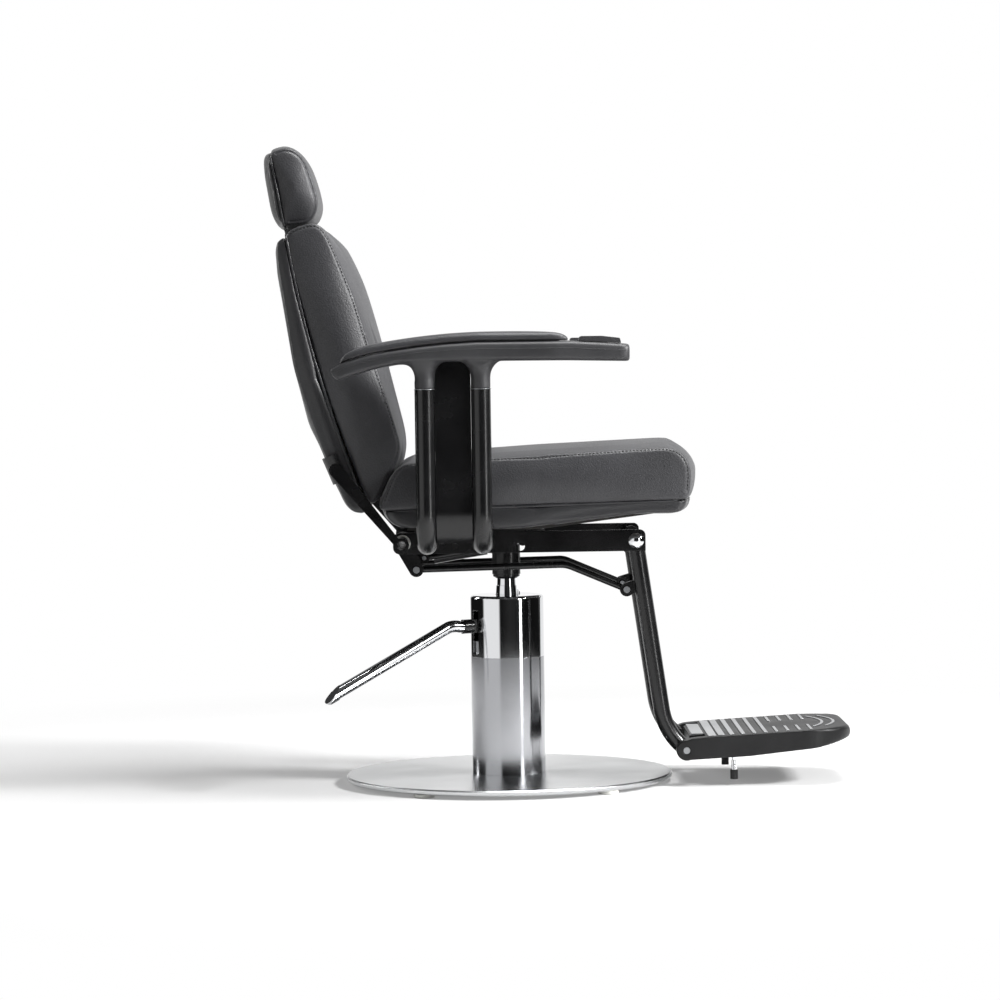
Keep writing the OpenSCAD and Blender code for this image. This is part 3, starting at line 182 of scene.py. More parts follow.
# %% Chrome, brushed steel and bare steel
TUBE_RADIUS = 68 * MM  # the column tube's, rounded
GROOVE_SPACING = 0.4


def metal(name, code, rough, spread=0.0, lines=None, smear=0.03, ease=0.5):
    """A metal. lines is None for polish, or 'rings', 'round' or 'along' for its grooves."""
    made, tree, surface = finish(name)
    where = add(tree, "TexCoord").outputs["Object"]
    wipe = add(tree, "TexNoise", Vector=where, Scale=per_mm(70), Detail=2.0).outputs["Fac"]
    shine = add(tree, "MapRange", Value=wipe, i1=0.3, i2=0.75, i3=rough, i4=rough + smear).outputs[0]
    feed(tree, surface, Base_Color=linear(code), Metallic=1.0, Roughness=shine)
    if ease:
        feed(tree, surface, Normal=add(tree, "Bevel", {"samples": 4}, Radius=ease * MM).outputs[0])
    if lines:
        if lines == "rings":
            flat = add(tree, "VectorMath", {"operation": "MULTIPLY"}, i0=where, i1=(1, 1, 0)).outputs[0]
            across = add(tree, "VectorMath", {"operation": "LENGTH"}, i0=flat).outputs["Value"]
        else:
            apart = add(tree, "SeparateXYZ", Vector=where).outputs
            if lines == "along":
                turned = add(tree, "Math", {"operation": "ARCTAN2"}, i0=apart["Y"], i1=apart["X"]).outputs[0]
                across = add(tree, "Math", {"operation": "MULTIPLY"}, i0=turned, i1=TUBE_RADIUS).outputs[0]
            else:
                across = apart["Z"]
        count = add(tree, "Math", {"operation": "MULTIPLY"}, i0=across, i1=per_mm(GROOVE_SPACING)).outputs[0]
        grooves = add(tree, "TexNoise", {"noise_dimensions": "1D"},
                      W=count, Scale=1.0, Detail=3.0).outputs["Fac"]
        tone = ramp(tree, grooves, (0.3, code), (0.75, "#ffffff"))
        shade = add(tree, "Mix", {"data_type": "RGBA", "blend_type": "MULTIPLY"},
                    i0=0.35, i6=linear(code), i7=tone).outputs[2]
        turn = add(tree, "Tangent", {"direction_type": "RADIAL", "axis": "Z"}).outputs[0]
        feed(tree, surface, Base_Color=shade, Tangent=turn, Anisotropic=spread,
             Anisotropic_Rotation=0.25 if lines == "along" else 0.0)
    return made


chrome = metal("chrome plate", "#dfe0e2", 0.04)
chrome_bar = metal("chrome plate on bar", "#c9cacc", 0.07, ease=0)
# The tube's steel is set darker than the disc's: painted shade, standing in for the darker reflection that
# the upright tube shows.
brushed_tube = metal("brushed stainless tube", "#b4b5b8", 0.13, 0.4, "along", smear=0.03)
brushed_disc = metal("brushed stainless disc", "#cfd0d1", 0.22, 0.8, "rings", smear=0.03, ease=1.2)
zinc = metal("zinc-plated steel", "#a4a6a9", 0.30, smear=0.12)
bronze = metal("sintered bronze", "#a8834d", 0.34, smear=0.1)
aluminium = metal("linished aluminium", "#c6c7c9", 0.30, 0.2, "round", smear=0.1)

# %% [markdown]
# ## Paint, plastics, rubber and wood
# The frame is powder-coated steel: black, satin, with a faint orange-peel surface whose waves
# are about 2.5 mm long. The arms are moulded polyurethane with a fine spark-eroded texture.
# The footrest is a painted casting, a little rougher. Glides are nylon, buffers are rubber,
# and the boards inside are birch plywood stained black.

# %% Coated, moulded and wooden finishes
def coat(name, code, light, rough, size, depth, ease=0.0, gloss=0.5):
    made, tree, surface = finish(name)
    where = add(tree, "TexCoord").outputs["Object"]
    peel = add(tree, "TexNoise", Vector=where, Scale=per_mm(size), Detail=2.0).outputs["Fac"]
    patch = add(tree, "TexNoise", Vector=where, Scale=per_mm(60), Detail=3.0).outputs["Fac"]
    colour = ramp(tree, patch, (0.35, code), (0.7, light))
    shine = add(tree, "MapRange", Value=patch, i1=0.3, i2=0.7, i3=rough - 0.03, i4=rough + 0.05).outputs[0]
    bump = add(tree, "Bump", Height=peel, Strength=0.3, Distance=depth * MM)
    if ease:
        tree.links.new(add(tree, "Bevel", {"samples": 4}, Radius=ease * MM).outputs[0], bump.inputs["Normal"])
    feed(tree, surface, Base_Color=colour, Roughness=shine, Normal=bump.outputs[0], Specular_IOR_Level=gloss)
    return made


paint = coat("black powder coat", "#0d0d0e", "#131314", 0.24, 2.5, 0.08, ease=1.2)
moulded = coat("moulded polyurethane", "#313133", "#3a3a3c", 0.46, 1.6, 0.25, ease=0.8)
casting = coat("painted casting", "#121213", "#1b1b1c", 0.42, 1.6, 0.18, ease=1.6, gloss=0.3)
rubber = coat("moulded rubber", "#141415", "#1b1b1c", 0.62, 1.2, 0.10)
nylon = coat("natural nylon", "#dcdcd6", "#e8e8e3", 0.45, 1.0, 0.05)
thread = coat("bonded nylon thread", "#0f0f10", "#1a1a1b", 0.55, 0.4, 0.08)
piping = coat("rolled leather piping", "#2b2b2d", "#3b3b3d", 0.28, 1.4, 0.12)


def plywood():
    """Its long soft grain shows through the stain; the plies at its edges are not drawn."""
    made, tree, surface = finish("black-stained birch plywood")
    where = add(tree, "TexCoord").outputs["Object"]
    long = add(tree, "Mapping", Vector=where, Scale=(6, 90, 90)).outputs[0]
    figure = add(tree, "TexNoise", Vector=long, Scale=1.0, Detail=4.0, Distortion=0.4).outputs["Fac"]
    colour = ramp(tree, figure, (0.3, "#161412"), (0.5, "#1d1b18"), (0.7, "#262320"))
    bump = add(tree, "Bump", Height=figure, Strength=0.2, Distance=0.2 * MM).outputs[0]
    feed(tree, surface, Base_Color=colour, Roughness=0.6, Normal=bump)
    return made


birch = plywood()
print("finishes made:", len(bpy.data.materials))

# %% [markdown]
# ## A finish for every solid
# Each solid keeps its mesh and its place, and only its material slots change. Two need a
# finish of their own: the brushed tube, whose lines run upright and whose steel is set darker
# than the disc's as painted shade, and the bent pedal bar.

# %% Dress the solids
FINISHES = {
    "brushed steel": brushed_disc, "polished chrome": chrome, "bare steel": zinc,
    "black paint": paint, "bronze": bronze, "black rubber": rubber, "pale nylon": nylon,
    "black leather": hide, "black leather cover": cover, "moulded black": moulded,
    "plywood": birch, "black casting": casting, "bright aluminium": aluminium,
}
OWN_FINISH = {"column_tube": brushed_tube, "pedal_tube": chrome_bar}
SLOTS = {part["node"]: part["material_slot"] for part in frame["record"]["subparts"]}
for name, solid in frame["nodes"].items():
    look = OWN_FINISH.get(name) or FINISHES[SLOTS[name]]
    for i in range(len(solid.data.materials)):
        solid.data.materials[i] = look
print("solids dressed:", len(frame["nodes"]))

# %% [markdown]
# ## Outlines of the padded parts
# Each padded part is drawn the way an upholsterer's pattern is: one outline at its sides and
# one through its middle, where it bulges. The outlines use the frame's own measurements:
# distances along the seat, along the slope of the back, and along the headrest.

# %% Outline helpers
def rounded(corners, n=10):
    """Outline in X and Z with every corner (x, z, radius) rounded by n + 1 points."""
    out = []
    m = len(corners)
    for i in range(m):
        a, b, c = (Vector(corners[j % m][:2]) for j in (i - 1, i, i + 1))
        r = corners[i][2]
        u, v = (a - b).normalized(), (c - b).normalized()
        half = math.acos(max(-1, min(1, u.dot(v)))) / 2
        centre = b + (u + v).normalized() * r / math.sin(half)
        p, q = b + u * r / math.tan(half) - centre, b + v * r / math.tan(half) - centre
        start = math.atan2(p.y, p.x)
        turn = (math.atan2(q.y, q.x) - start + 3 * math.pi) % (2 * math.pi) - math.pi
        out += [centre + r * Vector((math.cos(start + turn * k / n), math.sin(start + turn * k / n)))
                for k in range(n + 1)]
    return out


def even(points, step):
    """The closed outline again, its points step apart."""
    out, left = [], 0.0
    for a, b in zip(points, points[1:] + points[:1]):
        long = (b - a).length
        while left < long:
            out.append(a.lerp(b, left / long))
            left += step
        left -= long
    return out


def pair(side, middle, step=4.0):
    """Side and middle outlines with equal counts, evenly spaced along the side one."""
    shared = list(zip(side, middle))
    out, left = [], 0.0
    for (a, am), (b, bm) in zip(shared, shared[1:] + shared[:1]):
        long = max((b - a).length, (bm - am).length)
        while left < long:
            out.append((a.lerp(b, left / long), am.lerp(bm, left / long)))
            left += step
        left -= long
    return [p for p, _ in out], [q for _, q in out]


def soften(points, firm, passes):
    """Relaxes an outline into one flowing curve; firm points stay where they are."""
    stay = [firm(p) for p in points]
    n = len(points)
    for _ in range(passes):
        points = [p if stay[i] else (points[i - 1] + 2 * p + points[(i + 1) % n]) / 4
                  for i, p in enumerate(points)]
    return points


HINGE = Vector((-188, 449))
BACK_FOOT = HINGE + Vector((-73, 94))
BACK_LEAN, PAD_LEAN = math.radians(16.6), math.radians(10.2)
PAD_FOOT = HINGE + Vector((-206, 582))


def from_joint(foot, lean, p):
    """How far a point in mm lies along a slope, and in front of its joint."""
    d = Vector(p) - foot
    up = Vector((-math.sin(lean), math.cos(lean)))
    return d.dot(up), d.dot(Vector((up.y, -up.x)))


def on_slope(foot, lean, along, front, r=0):
    up = Vector((-math.sin(lean), math.cos(lean)))
    out = Vector((math.cos(lean), math.sin(lean)))
    p = foot + along * up + front * out
    return (p.x, p.y, r)


def on_back(along, front, r=0):
    return on_slope(BACK_FOOT, BACK_LEAN, along, front, r)


def on_head(along, front, r=0):
    return on_slope(PAD_FOOT, PAD_LEAN, along, front, r)


def seam_at(x):
    """Height of the seam between the seat's cushion and its lower cover."""
    return 512.0 + 0.023 * (x + 222)


# %% [markdown]
# ## Padded forms
# A padded part starts as rings from side to side: flat side panels, a tight rounded edge
# where they are sewn, and a crown that swells towards the middle. Its sides pull in a little
# between the corners, as a filled cover does. The rings keep the seams exactly where the
# pattern puts them, so seams, creases and stitches can follow them later.

# %% Padded form
def crown(t):
    return 1 - abs(t) ** 2.4


def padded_form(name, side, middle, width, edge, pull=0.0, groove_at=2.0, groove=0.0, columns=40,
                firm=lambda p: False, passes=16, puff=0.0, calm=lambda p: 1.0):
    """Closed quad mesh of a padded part in metres, and the outline of its side panel.
    puff is how far a side panel stands out in its middle; calm lowers it near a neighbour."""
    side, middle = pair(side, middle)
    side, middle = soften(side, firm, passes), soften(middle, firm, passes)
    half = width / 2
    centre = sum(side, Vector((0, 0))) / len(side)
    reach = max((p - centre).length for p in side)
    inner = 1 - edge / half
    stations = [(inner * (2 * k / columns - 1), 0.0) for k in range(columns + 1)]
    bend = [(inner + edge / half * math.sin(a), edge * (1 - math.cos(a)))
            for a in (math.radians(d) for d in (18, 36, 54, 72, 90))]
    stations = [(-x, drop) for x, drop in reversed(bend)] + stations + bend
    verts, faces = [], []
    n = len(side)
    for x, drop in stations:
        share = crown(min(abs(x) / inner, 1))
        sink = groove * math.exp(-((abs(x) / inner - groove_at) / 0.045) ** 2) if groove else 0
        for p, q in zip(side, middle):
            at = p.lerp(q, share)
            way = centre - at
            slack = pull * (1 - (p - centre).length / reach) * x
            at = at + way * ((drop + sink) / max(way.length, 1))
            verts.append((at.x, half * x - slack, at.y))
    for k in range(len(stations) - 1):
        for i in range(n):
            a, b = k * n + i, k * n + (i + 1) % n
            faces.append((a, b, b + n, a + n))
    for base, end in ((0, -1), ((len(stations) - 1) * n, 1)):
        ring = list(range(base, base + n))
        for share in (0.95, 0.88, 0.78, 0.66, 0.5, 0.34, 0.17):
            fresh = len(verts)
            for i in range(n):
                x, y, z = verts[base + i]
                at = Vector((centre.x + (x - centre.x) * share, centre.y + (z - centre.y) * share))
                verts.append((at.x, y + end * puff * (1 - share ** 2) * calm(at), at.y))
            for i in range(n):
                quad = (ring[i], ring[(i + 1) % n], fresh + (i + 1) % n, fresh + i)
                faces.append(quad if end > 0 else quad[::-1])
            ring = list(range(fresh, fresh + n))
        verts.append((centre.x, verts[base][1] + end * puff * calm(centre), centre.y))
        for i in range(n):
            tri = (ring[i], ring[(i + 1) % n], len(verts) - 1)
            faces.append(tri if end > 0 else tri[::-1])
    mesh = bpy.data.meshes.new(name)
    mesh.from_pydata([tuple(c * MM for c in v) for v in verts], [], faces)
    made = bpy.data.objects.new(name, mesh)
    scene.collection.objects.link(made)
    outward(made)
    panel = [Vector(v) * MM for v in verts[(len(stations) - 1) * n:len(stations) * n]]
    return made, panel


def alone(piece):
    bpy.ops.object.select_all(action="DESELECT")
    piece.select_set(True)
    bpy.context.view_layer.objects.active = piece


def outward(piece, merge=True):
    """Merges doubles, unless told not to, and turns all faces outwards."""
    alone(piece)
    bpy.ops.object.mode_set(mode="EDIT")
    bpy.ops.mesh.select_all(action="SELECT")
    if merge:
        bpy.ops.mesh.remove_doubles(threshold=0.02 * MM)
    bpy.ops.mesh.normals_make_consistent(inside=False)
    bpy.ops.object.mode_set(mode="OBJECT")


# %% [markdown]
# ## Filling with cloth simulation
# The cover is remeshed into even quads of 3 to 5 mm and blown up from inside by a small
# pressure while its seams stay sewn. Gravity is off, because the foam carries the cover. How far a point may
# move is capped, so the cushion keeps the size of its solid. A subdivision then smooths it.

# %% Fill, crease and smooth
CLOTH_FRAMES = 20
SEWN_REACH = 9 * MM


def apply(piece, kind, **settings):
    alone(piece)
    step = piece.modifiers.new(kind.lower(), kind)
    for name, value in settings.items():
        setattr(step, name, value)
    bpy.ops.object.modifier_apply(modifier=step.name)


def point_tree(points):
    tree = KDTree(len(points))
    for i, p in enumerate(points):
        tree.insert(p, i)
    tree.balance()
    return tree


def fill(piece, sewn, voxel=5.0, cap=6.0, pressure=4.0, held=None):
    """Remeshes, swells and smooths a cover. sewn are the points of its seams."""
    alone(piece)
    piece.data.remesh_voxel_size = voxel * MM
    bpy.ops.object.voxel_remesh()
    apply(piece, "SMOOTH", factor=0.5, iterations=4)
    before = [v.co.copy() for v in piece.data.vertices]
    seam = point_tree(sewn)
    pins = piece.vertex_groups.new(name="sewn")
    for v in piece.data.vertices:
        hold = 1 - seam.find(v.co)[2] / SEWN_REACH
        if held and held(v.co):
            hold = 1
        if hold > 0:
            pins.add([v.index], min(hold, 1), "REPLACE")
    cloth = piece.modifiers.new("cloth", "CLOTH")
    cloth.settings.use_pressure = True
    cloth.settings.uniform_pressure_force = pressure
    cloth.settings.vertex_group_mass = "sewn"
    cloth.settings.effector_weights.gravity = 0
    cloth.settings.quality = 4
    for frame_number in range(1, CLOTH_FRAMES + 1):
        scene.frame_set(frame_number)
    alone(piece)
    bpy.ops.object.modifier_apply(modifier="cloth")
    scene.frame_set(1)
    most = 0.0
    for v, old in zip(piece.data.vertices, before):
        move = v.co - old
        most = max(most, move.length)
        if move.length > cap * MM:
            v.co = old + move * (cap * MM / move.length)
    apply(piece, "SMOOTH", factor=0.5, iterations=3)
    print(piece.name, "swelled by up to", round(most * 1000, 1), "mm, capped at", cap)
    apply(piece, "SUBSURF", levels=1, render_levels=1)
    bpy.ops.object.shade_smooth()


def crease(piece, line, deep, wide):
    """Presses a sewn channel into a cover along the points of a line."""
    seam = point_tree(line)
    mesh = piece.data
    normals = [v.normal.copy() for v in mesh.vertices]
    for v, normal in zip(mesh.vertices, normals):
        gap = seam.find(v.co)[2] / MM
        if gap < 3 * wide:
            v.co -= normal * deep * MM * math.exp(-(gap / wide) ** 2)
    mesh.update()


def dense(points, step=1.5, closed=False):
    """A line's points again, at most step mm apart."""
    out = []
    ends = points[1:] + points[:1] if closed else points[1:]
    for a, b in zip(points, ends):
        count = max(1, int((b - a).length / (step * MM)))
        out += [a.lerp(b, k / count) for k in range(count)]
    return out + ([] if closed else [points[-1]])


def stretch(panel, keep):
    """The unbroken run of a closed outline's points that keep accepts."""
    n = len(panel)
    first = next(i for i in range(n) if keep(panel[i]) and not keep(panel[i - 1]))
    out = []
    for i in range(n):
        p = panel[(first + i) % n]
        if not keep(p):
            break
        out.append(p)
    return out


def mirrored(line):
    return [Vector((p.x, -p.y, p.z)) for p in line]


# %% [markdown]
# ## Stitches and piping
# A lockstitch seam shows as short dark dashes of thread that dip into the leather at both
# ends. One stitch is modelled as a small drawn-out ball and copied along the seam; each is laid on
# the finished cover with a ray to its nearest surface. Piping is a cord rolled in leather,
# swept along the joint it hides.

# %% Stitch and piping helpers
def walk(line, every):
    """Places along a line, every mm apart, with the direction there."""
    out, left = [], every * 0.5 * MM
    for a, b in zip(line, line[1:]):
        long = (b - a).length
        while left < long:
            out.append((a.lerp(b, left / long), (b - a).normalized()))
            left += every * MM
        left -= long
    return out


def stitches(name, lines, on, body, pitch=6.5, long=4.6, thick=1.6, lift=0.4):
    """Thread dashes along lines, laid on the piece on."""
    bpy.ops.mesh.primitive_uv_sphere_add(segments=8, ring_count=6, radius=0.5)
    one = bpy.context.active_object
    shape = [v.co.copy() for v in one.data.vertices]
    faces = [tuple(p.vertices) for p in one.data.polygons]
    bpy.data.objects.remove(one)
    skin = BVHTree.FromObject(on, bpy.context.evaluated_depsgraph_get())
    verts, polys = [], []
    for line in lines:
        for place, way in walk(line, pitch):
            spot, normal, _, _ = skin.find_nearest(place)
            side = way.cross(normal).normalized()
            up = side.cross(way).normalized()
            start = len(verts)
            for v in shape:
                p = spot + way * v.z * long * MM + side * v.x * thick * MM + up * (v.y * thick + lift) * MM
                verts.append(p)
            polys += [tuple(i + start for i in f) for f in faces]
    mesh = bpy.data.meshes.new(name)
    mesh.from_pydata(verts, [], polys)
    made = bpy.data.objects.new(name, mesh)
    scene.collection.objects.link(made)
    outward(made, merge=False)
    alone(made)
    bpy.ops.object.shade_smooth()
    mesh.materials.append(thread)
    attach(made, body)
    print(name, "stitches:", len(verts) // len(shape))
    return made


def cord_line(name, line, radius, body, material, closed=True, faces=5):
    """A round cord swept along a line of points, as a mesh."""
    curve = bpy.data.curves.new(name, "CURVE")
    curve.dimensions = "3D"
    curve.bevel_depth = radius * MM
    curve.bevel_resolution = faces
    curve.use_fill_caps = not closed
    run = curve.splines.new("POLY")
    run.points.add(len(line) - 1)
    for point, p in zip(run.points, line):
        point.co = (*p, 1)
    run.use_cyclic_u = closed
    made = bpy.data.objects.new(name, curve)
    scene.collection.objects.link(made)
    alone(made)
    bpy.ops.object.convert(target="MESH")
    made = bpy.context.active_object
    outward(made)
    bpy.ops.object.shade_smooth()
    made.data.materials.clear()
    made.data.materials.append(material)
    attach(made, body)
    return made


def dress(piece, material, slot_name, body, fill_share, *nodes):
    piece.data.materials.clear()
    piece.data.materials.append(material)
    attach(piece, body)
    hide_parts(*nodes)
    print(piece.name, "faces:", len(piece.data.polygons))


# %% [markdown]
# ## Seat cushion
# The seat is one thick foam block in a boxed cover: a top panel that rolls over the front,
# and two side panels sewn to it just under the edge. The side seam is topstitched, so a row
# of dark dashes runs along each side and turns down behind the front corner.

# %% Seat cushion
SEAT_BACK, SEAT_FRONT = -222, 344
SEAT_WIDE, SKIRT_WIDE = 489, 484
SEAT_THICK, FRONT_RISE = 82, 22


def seat_outline(lift, nose):
    back_top = seam_at(SEAT_BACK) + SEAT_THICK
    front_top = back_top + FRONT_RISE
    return rounded([(SEAT_BACK - 5 - nose * 0.4, seam_at(SEAT_BACK), 5), (60, seam_at(60), 200),
                    (SEAT_FRONT - 22 + nose * 0.8, seam_at(SEAT_FRONT), 11),
                    (SEAT_FRONT - 17 + nose, front_top + lift, 42), (60, back_top + 10.5 + lift, 400),
                    (SEAT_BACK + 27, back_top + lift * 0.5, 34)])


seat, seat_panel = padded_form("seat_cushion_cover", seat_outline(4, 5), seat_outline(11, 23),
                               SEAT_WIDE, edge=5, pull=3, puff=8, firm=lambda p: p.y < seam_at(p.x) + 3)
seat_seam = dense(seat_panel, closed=True)
fill(seat, seat_seam + mirrored(seat_seam), cap=4.0, held=lambda p: p.z < (seam_at(p.x / MM) + 4) * MM)
seat_top = stretch(seat_panel, lambda p: p.z > (seam_at(p.x / MM) + 14) * MM)
both = [seat_top, mirrored(seat_top)]
for line in both:
    crease(seat, dense(line), 1.6, 2.6)
dress(seat, hide, "black leather", "seat", 0.8, "seat_cushion")
stitches("seat_stitches", both, seat, "seat")

# %% [markdown]
# ## Lower seat cover
# Under the cushion a thinner cover wraps the plywood base and is stapled below. It bellies out
# a little at the front. A piping cord closes the joint all round, so the seam reads as a dark
# line over a thin light one.

# %% Lower seat cover and its piping
SKIRT_Z = 476.5


def skirt_outline(dip, nose):
    gap = 0.4
    return rounded([(SEAT_BACK + 24 - nose * 0.5, SKIRT_Z + 5, 14), (20, SKIRT_Z - dip, 60),
                    (235, SKIRT_Z + 25 - dip, 90), (SEAT_FRONT - 24 + nose, SKIRT_Z + 24, 8),
                    (SEAT_FRONT - 20 + nose, seam_at(SEAT_FRONT) - gap, 4), (60, seam_at(60) - gap, 200),
                    (SEAT_BACK - 3 - nose * 0.65, seam_at(SEAT_BACK) - gap, 5)])


skirt, skirt_panel = padded_form("seat_lower_cover", skirt_outline(0, 0), skirt_outline(1, 16),
                                 SKIRT_WIDE, edge=14, firm=lambda p: p.y > seam_at(p.x) - 3)
fill(skirt, dense(skirt_panel, closed=True), voxel=4.5, cap=1.5,
     held=lambda p: p.z < 0.484 or p.z > (seam_at(p.x / MM) - 3) * MM)
dress(skirt, cover, "black leather cover", "seat", 0.7, "seat_skirt")


def seat_edge(half=239.0, corner=30):
    """The joint's path round the seat, in metres."""
    front_bow = 12
    plan = rounded([(SEAT_BACK + 6, -half, corner), (SEAT_FRONT - 24, -half, corner),
                    (SEAT_FRONT - 24 + front_bow, 0, 600), (SEAT_FRONT - 24, half, corner),
                    (SEAT_BACK + 6, half, corner)], 12)
    return [Vector((p.x, p.y, seam_at(p.x) - 1.0)) * MM for p in even(plan, 6)]


cord_line("seat_piping", seat_edge(), 2.4, "seat", piping)

# %% [markdown]
# ## Back cushion
# The front of the back is one pillow: side panels that curve with it, two bolsters, and a
# middle that stands out further towards the top, with a sewn channel on each side of it. The
# seam between side panel and front is topstitched like the seat's.

# %% Back cushion
BACK_WIDE, SHELL_WIDE = 416, 412


def back_front(grow):
    """The side outline, and the middle one when grow is 1; near is 1 only at the side."""
    c = 34 * grow
    near = 1 - grow
    return rounded([on_back(-38, 8, 8), on_back(-12, 39, 30),
                    on_back(51 - 6 * grow, 91.4 + c * 0.29 + 5 * near, 38),
                    on_back(195, 84.7 + c * 0.68 + 12 * near, 300),
                    on_back(339 + 24 * grow, 78 + c * 1.04 + 17 * near, 200),
                    on_back(430 + 14 * grow, 70 + c * 0.88 + 17 * near, 60),
                    on_back(486 - 16 * grow, 62.5 + c * 0.68 + 16 * near, 20),
                    on_back(487 - 11 * grow, 30, 30), on_back(481, -0.5 + 13 * near, 5),
                    on_back(400, -1.7 + 4 * near, 200), on_back(200, -5.4, 500)])


def along_back(p):
    """How far a point in metres lies up the back's slope, and in front of its joint."""
    return from_joint(BACK_FOOT, BACK_LEAN, (p.x / MM, p.z / MM))


def on_the_back(p):
    """The same for a point of an outline, in mm."""
    return from_joint(BACK_FOOT, BACK_LEAN, p)


back, back_panel = padded_form("back_cushion_cover", back_front(0), back_front(1), BACK_WIDE,
                               edge=5, pull=5, groove_at=0.7, groove=5, columns=48, puff=13,
                               calm=lambda p: min(1, max(0, on_the_back(p)[0] / 60)),
                               firm=lambda p: on_the_back(p)[1] < 3)
back_seam = dense(back_panel, closed=True)
fill(back, back_seam + mirrored(back_seam), cap=4.0, held=lambda p: along_back(p)[1] < 3)
front_seam = stretch(back_panel, lambda p: along_back(p)[1] > 16)
both = [front_seam, mirrored(front_seam)]
for line in both:
    crease(back, dense(line), 1.6, 2.6)
dress(back, hide, "black leather", "back", 0.8, "back_cushion")
stitches("back_stitches", both, back, "back")

# %% [markdown]
# ## Rear shell of the back
# Behind the joint a smooth cover wraps the board's foam. It is fuller at the bottom, and its
# rear edge is drawn round enough to catch a broad highlight. Piping hides the joint.

# %% Rear shell and back piping
def back_rear(grow):
    near = 1 - grow
    return rounded([on_back(-35, 1.5, 3), on_back(200, -7, 500), on_back(400, -3.8 + 4 * near, 200),
                    on_back(478, -2.6 + 13 * near, 2),
                    on_back(468 + 3 * grow, -12 - 9 * grow, 7), on_back(250, -44.4 - 4 * grow, 200),
                    on_back(141, -44 - 12 * grow, 40), on_back(86, -41 - 2.5 * grow, 40),
                    on_back(-18, -31 - 8.5 * grow, 20), on_back(-38, -18 - 4 * grow, 8)])


shell, shell_panel = padded_form("back_shell_cover", back_rear(0), back_rear(1), SHELL_WIDE,
                                 edge=9, puff=4, firm=lambda p: on_the_back(p)[1] > -7)
fill(shell, dense(shell_panel, closed=True), voxel=4.5, cap=1.5, held=lambda p: along_back(p)[1] > -9)
dress(shell, cover, "black leather cover", "back", 0.6, "back_shell")


def joint_loop(place, low, high, half, bow, corner):
    """A rounded loop in the joint's plane: s along the slope and y across, bowed in front."""
    plan = rounded([(low, -half, corner), (high, -half, corner),
                    (high, half, corner), (low, half, corner)], 12)
    out = []
    for p in even(plan, 6):
        x, z, _ = place(p.x, bow(p.x))
        out.append(Vector((x, p.y, z)) * MM)
    return out


def joint_bow(s):
    """The joint's line at the sides: it bows back a little, then runs forward at the top."""
    return -5.6 * (1 - ((s - 220) / 258) ** 2) + (13 * max(0, (s - 250) / 230) ** 1.5)


back_joint = joint_loop(on_back, -35, 479, 205.5, joint_bow, 14)
cord_line("back_piping", back_joint, 2.4, "back", piping)

# %% [markdown]
# ## Headrest
# A short cushion on a steel blade: a D-shaped side panel framed by a band that runs over its
# front, with a thin shell behind. The panel seam is plain here, pressed in without topstitch,
# and piping closes the joint again.

# %% Headrest cushion and shell
HEAD_WIDE, HEAD_SHELL_WIDE = 249, 245


def head_front(grow):
    return rounded([on_head(-6 - 9 * grow, 1, 4), on_head(-12 - 7 * grow, 54 - 10 * grow, 18),
                    on_head(20 - 12 * grow, 70, 30), on_head(56 - 6 * grow, 68.5, 60),
                    on_head(107 + 3 * grow, 60 + 2 * grow, 30), on_head(135 + 7 * grow, 34, 24),
                    on_head(126 + 12 * grow, 0.4, 6)])


def head_rear(grow):
    return rounded([on_head(-5 - 9 * grow, 0.4, 2), on_head(118 + 17 * grow, -0.2, 2),
                    on_head(118 + 13 * grow, -7 - 9.5 * grow, 8), on_head(90, -8.5 - 12 * grow, 40),
                    on_head(20, -9 - 12.5 * grow, 20), on_head(1 - 9 * grow, -7 - 6 * grow, 7)])


def along_head(p):
    return from_joint(PAD_FOOT, PAD_LEAN, (p.x / MM, p.z / MM))


head, head_panel = padded_form("headrest_cover", head_front(0), head_front(1),
                               HEAD_WIDE, edge=5, pull=4, puff=10,
                               firm=lambda p: from_joint(PAD_FOOT, PAD_LEAN, p)[1] < 3)
head_seam = dense(head_panel, closed=True)
fill(head, head_seam + mirrored(head_seam), voxel=4.0, cap=3.0, held=lambda p: along_head(p)[1] < 3)
seam_line = stretch(head_panel, lambda p: along_head(p)[1] > 10)
for line in (seam_line, mirrored(seam_line)):
    crease(head, dense(line), 2.0, 2.2)
dress(head, hide, "black leather", "headrest", 0.8, "headrest_cushion")

head_shell, head_shell_panel = padded_form("headrest_shell_cover", head_rear(0), head_rear(1),
                                           HEAD_SHELL_WIDE, edge=5, puff=2, passes=8,
                                           firm=lambda p: from_joint(PAD_FOOT, PAD_LEAN, p)[1] > -2)
fill(head_shell, dense(head_shell_panel, closed=True), voxel=3.0, cap=0.8,
     held=lambda p: along_head(p)[1] > -3)
dress(head_shell, cover, "black leather cover", "headrest", 0.5, "headrest_shell")
head_joint = joint_loop(on_head, -8, 122, 122.5, lambda s: 0.2, 10)
cord_line("headrest_piping", head_joint, 2.4, "headrest", piping)

# %% [markdown]
# ## Armrests
# Each arm is one moulding: a beam that thins towards a turned-down rear tip, with two necks
# that flow into the posts. The solid has the right sizes but flat facets, so a merged copy is
# remeshed fine and relaxed, which melts necks and beam into one skin as a mould does. A fine
# rib along each side stands for the line where the mould parted.

# %% Moulded arms
ARM_TOP_Z, ARM_Y = 810.5, 300
ARM_TOP = [(-306, -45), (-280, -32), (-236, -20), (-198, -14), (-150, -7.5), (-100, -2.5), (-50, 0),
           (110, -0.5), (170, -4), (219, -8)]
ARM_LOW = [(-306, -49), (-298, -66), (-290, -65), (-270, -58), (-235, -48), (-205, -41), (-150, -36),
           (-80, -34.5), (100, -35.5), (219, -38.5)]
ARM_WIDE = [(-306, 0.62), (-298, 0.74), (-285, 0.82), (-230, 0.92), (-150, 1), (207, 1),
            (214, 0.94), (219, 0.78)]


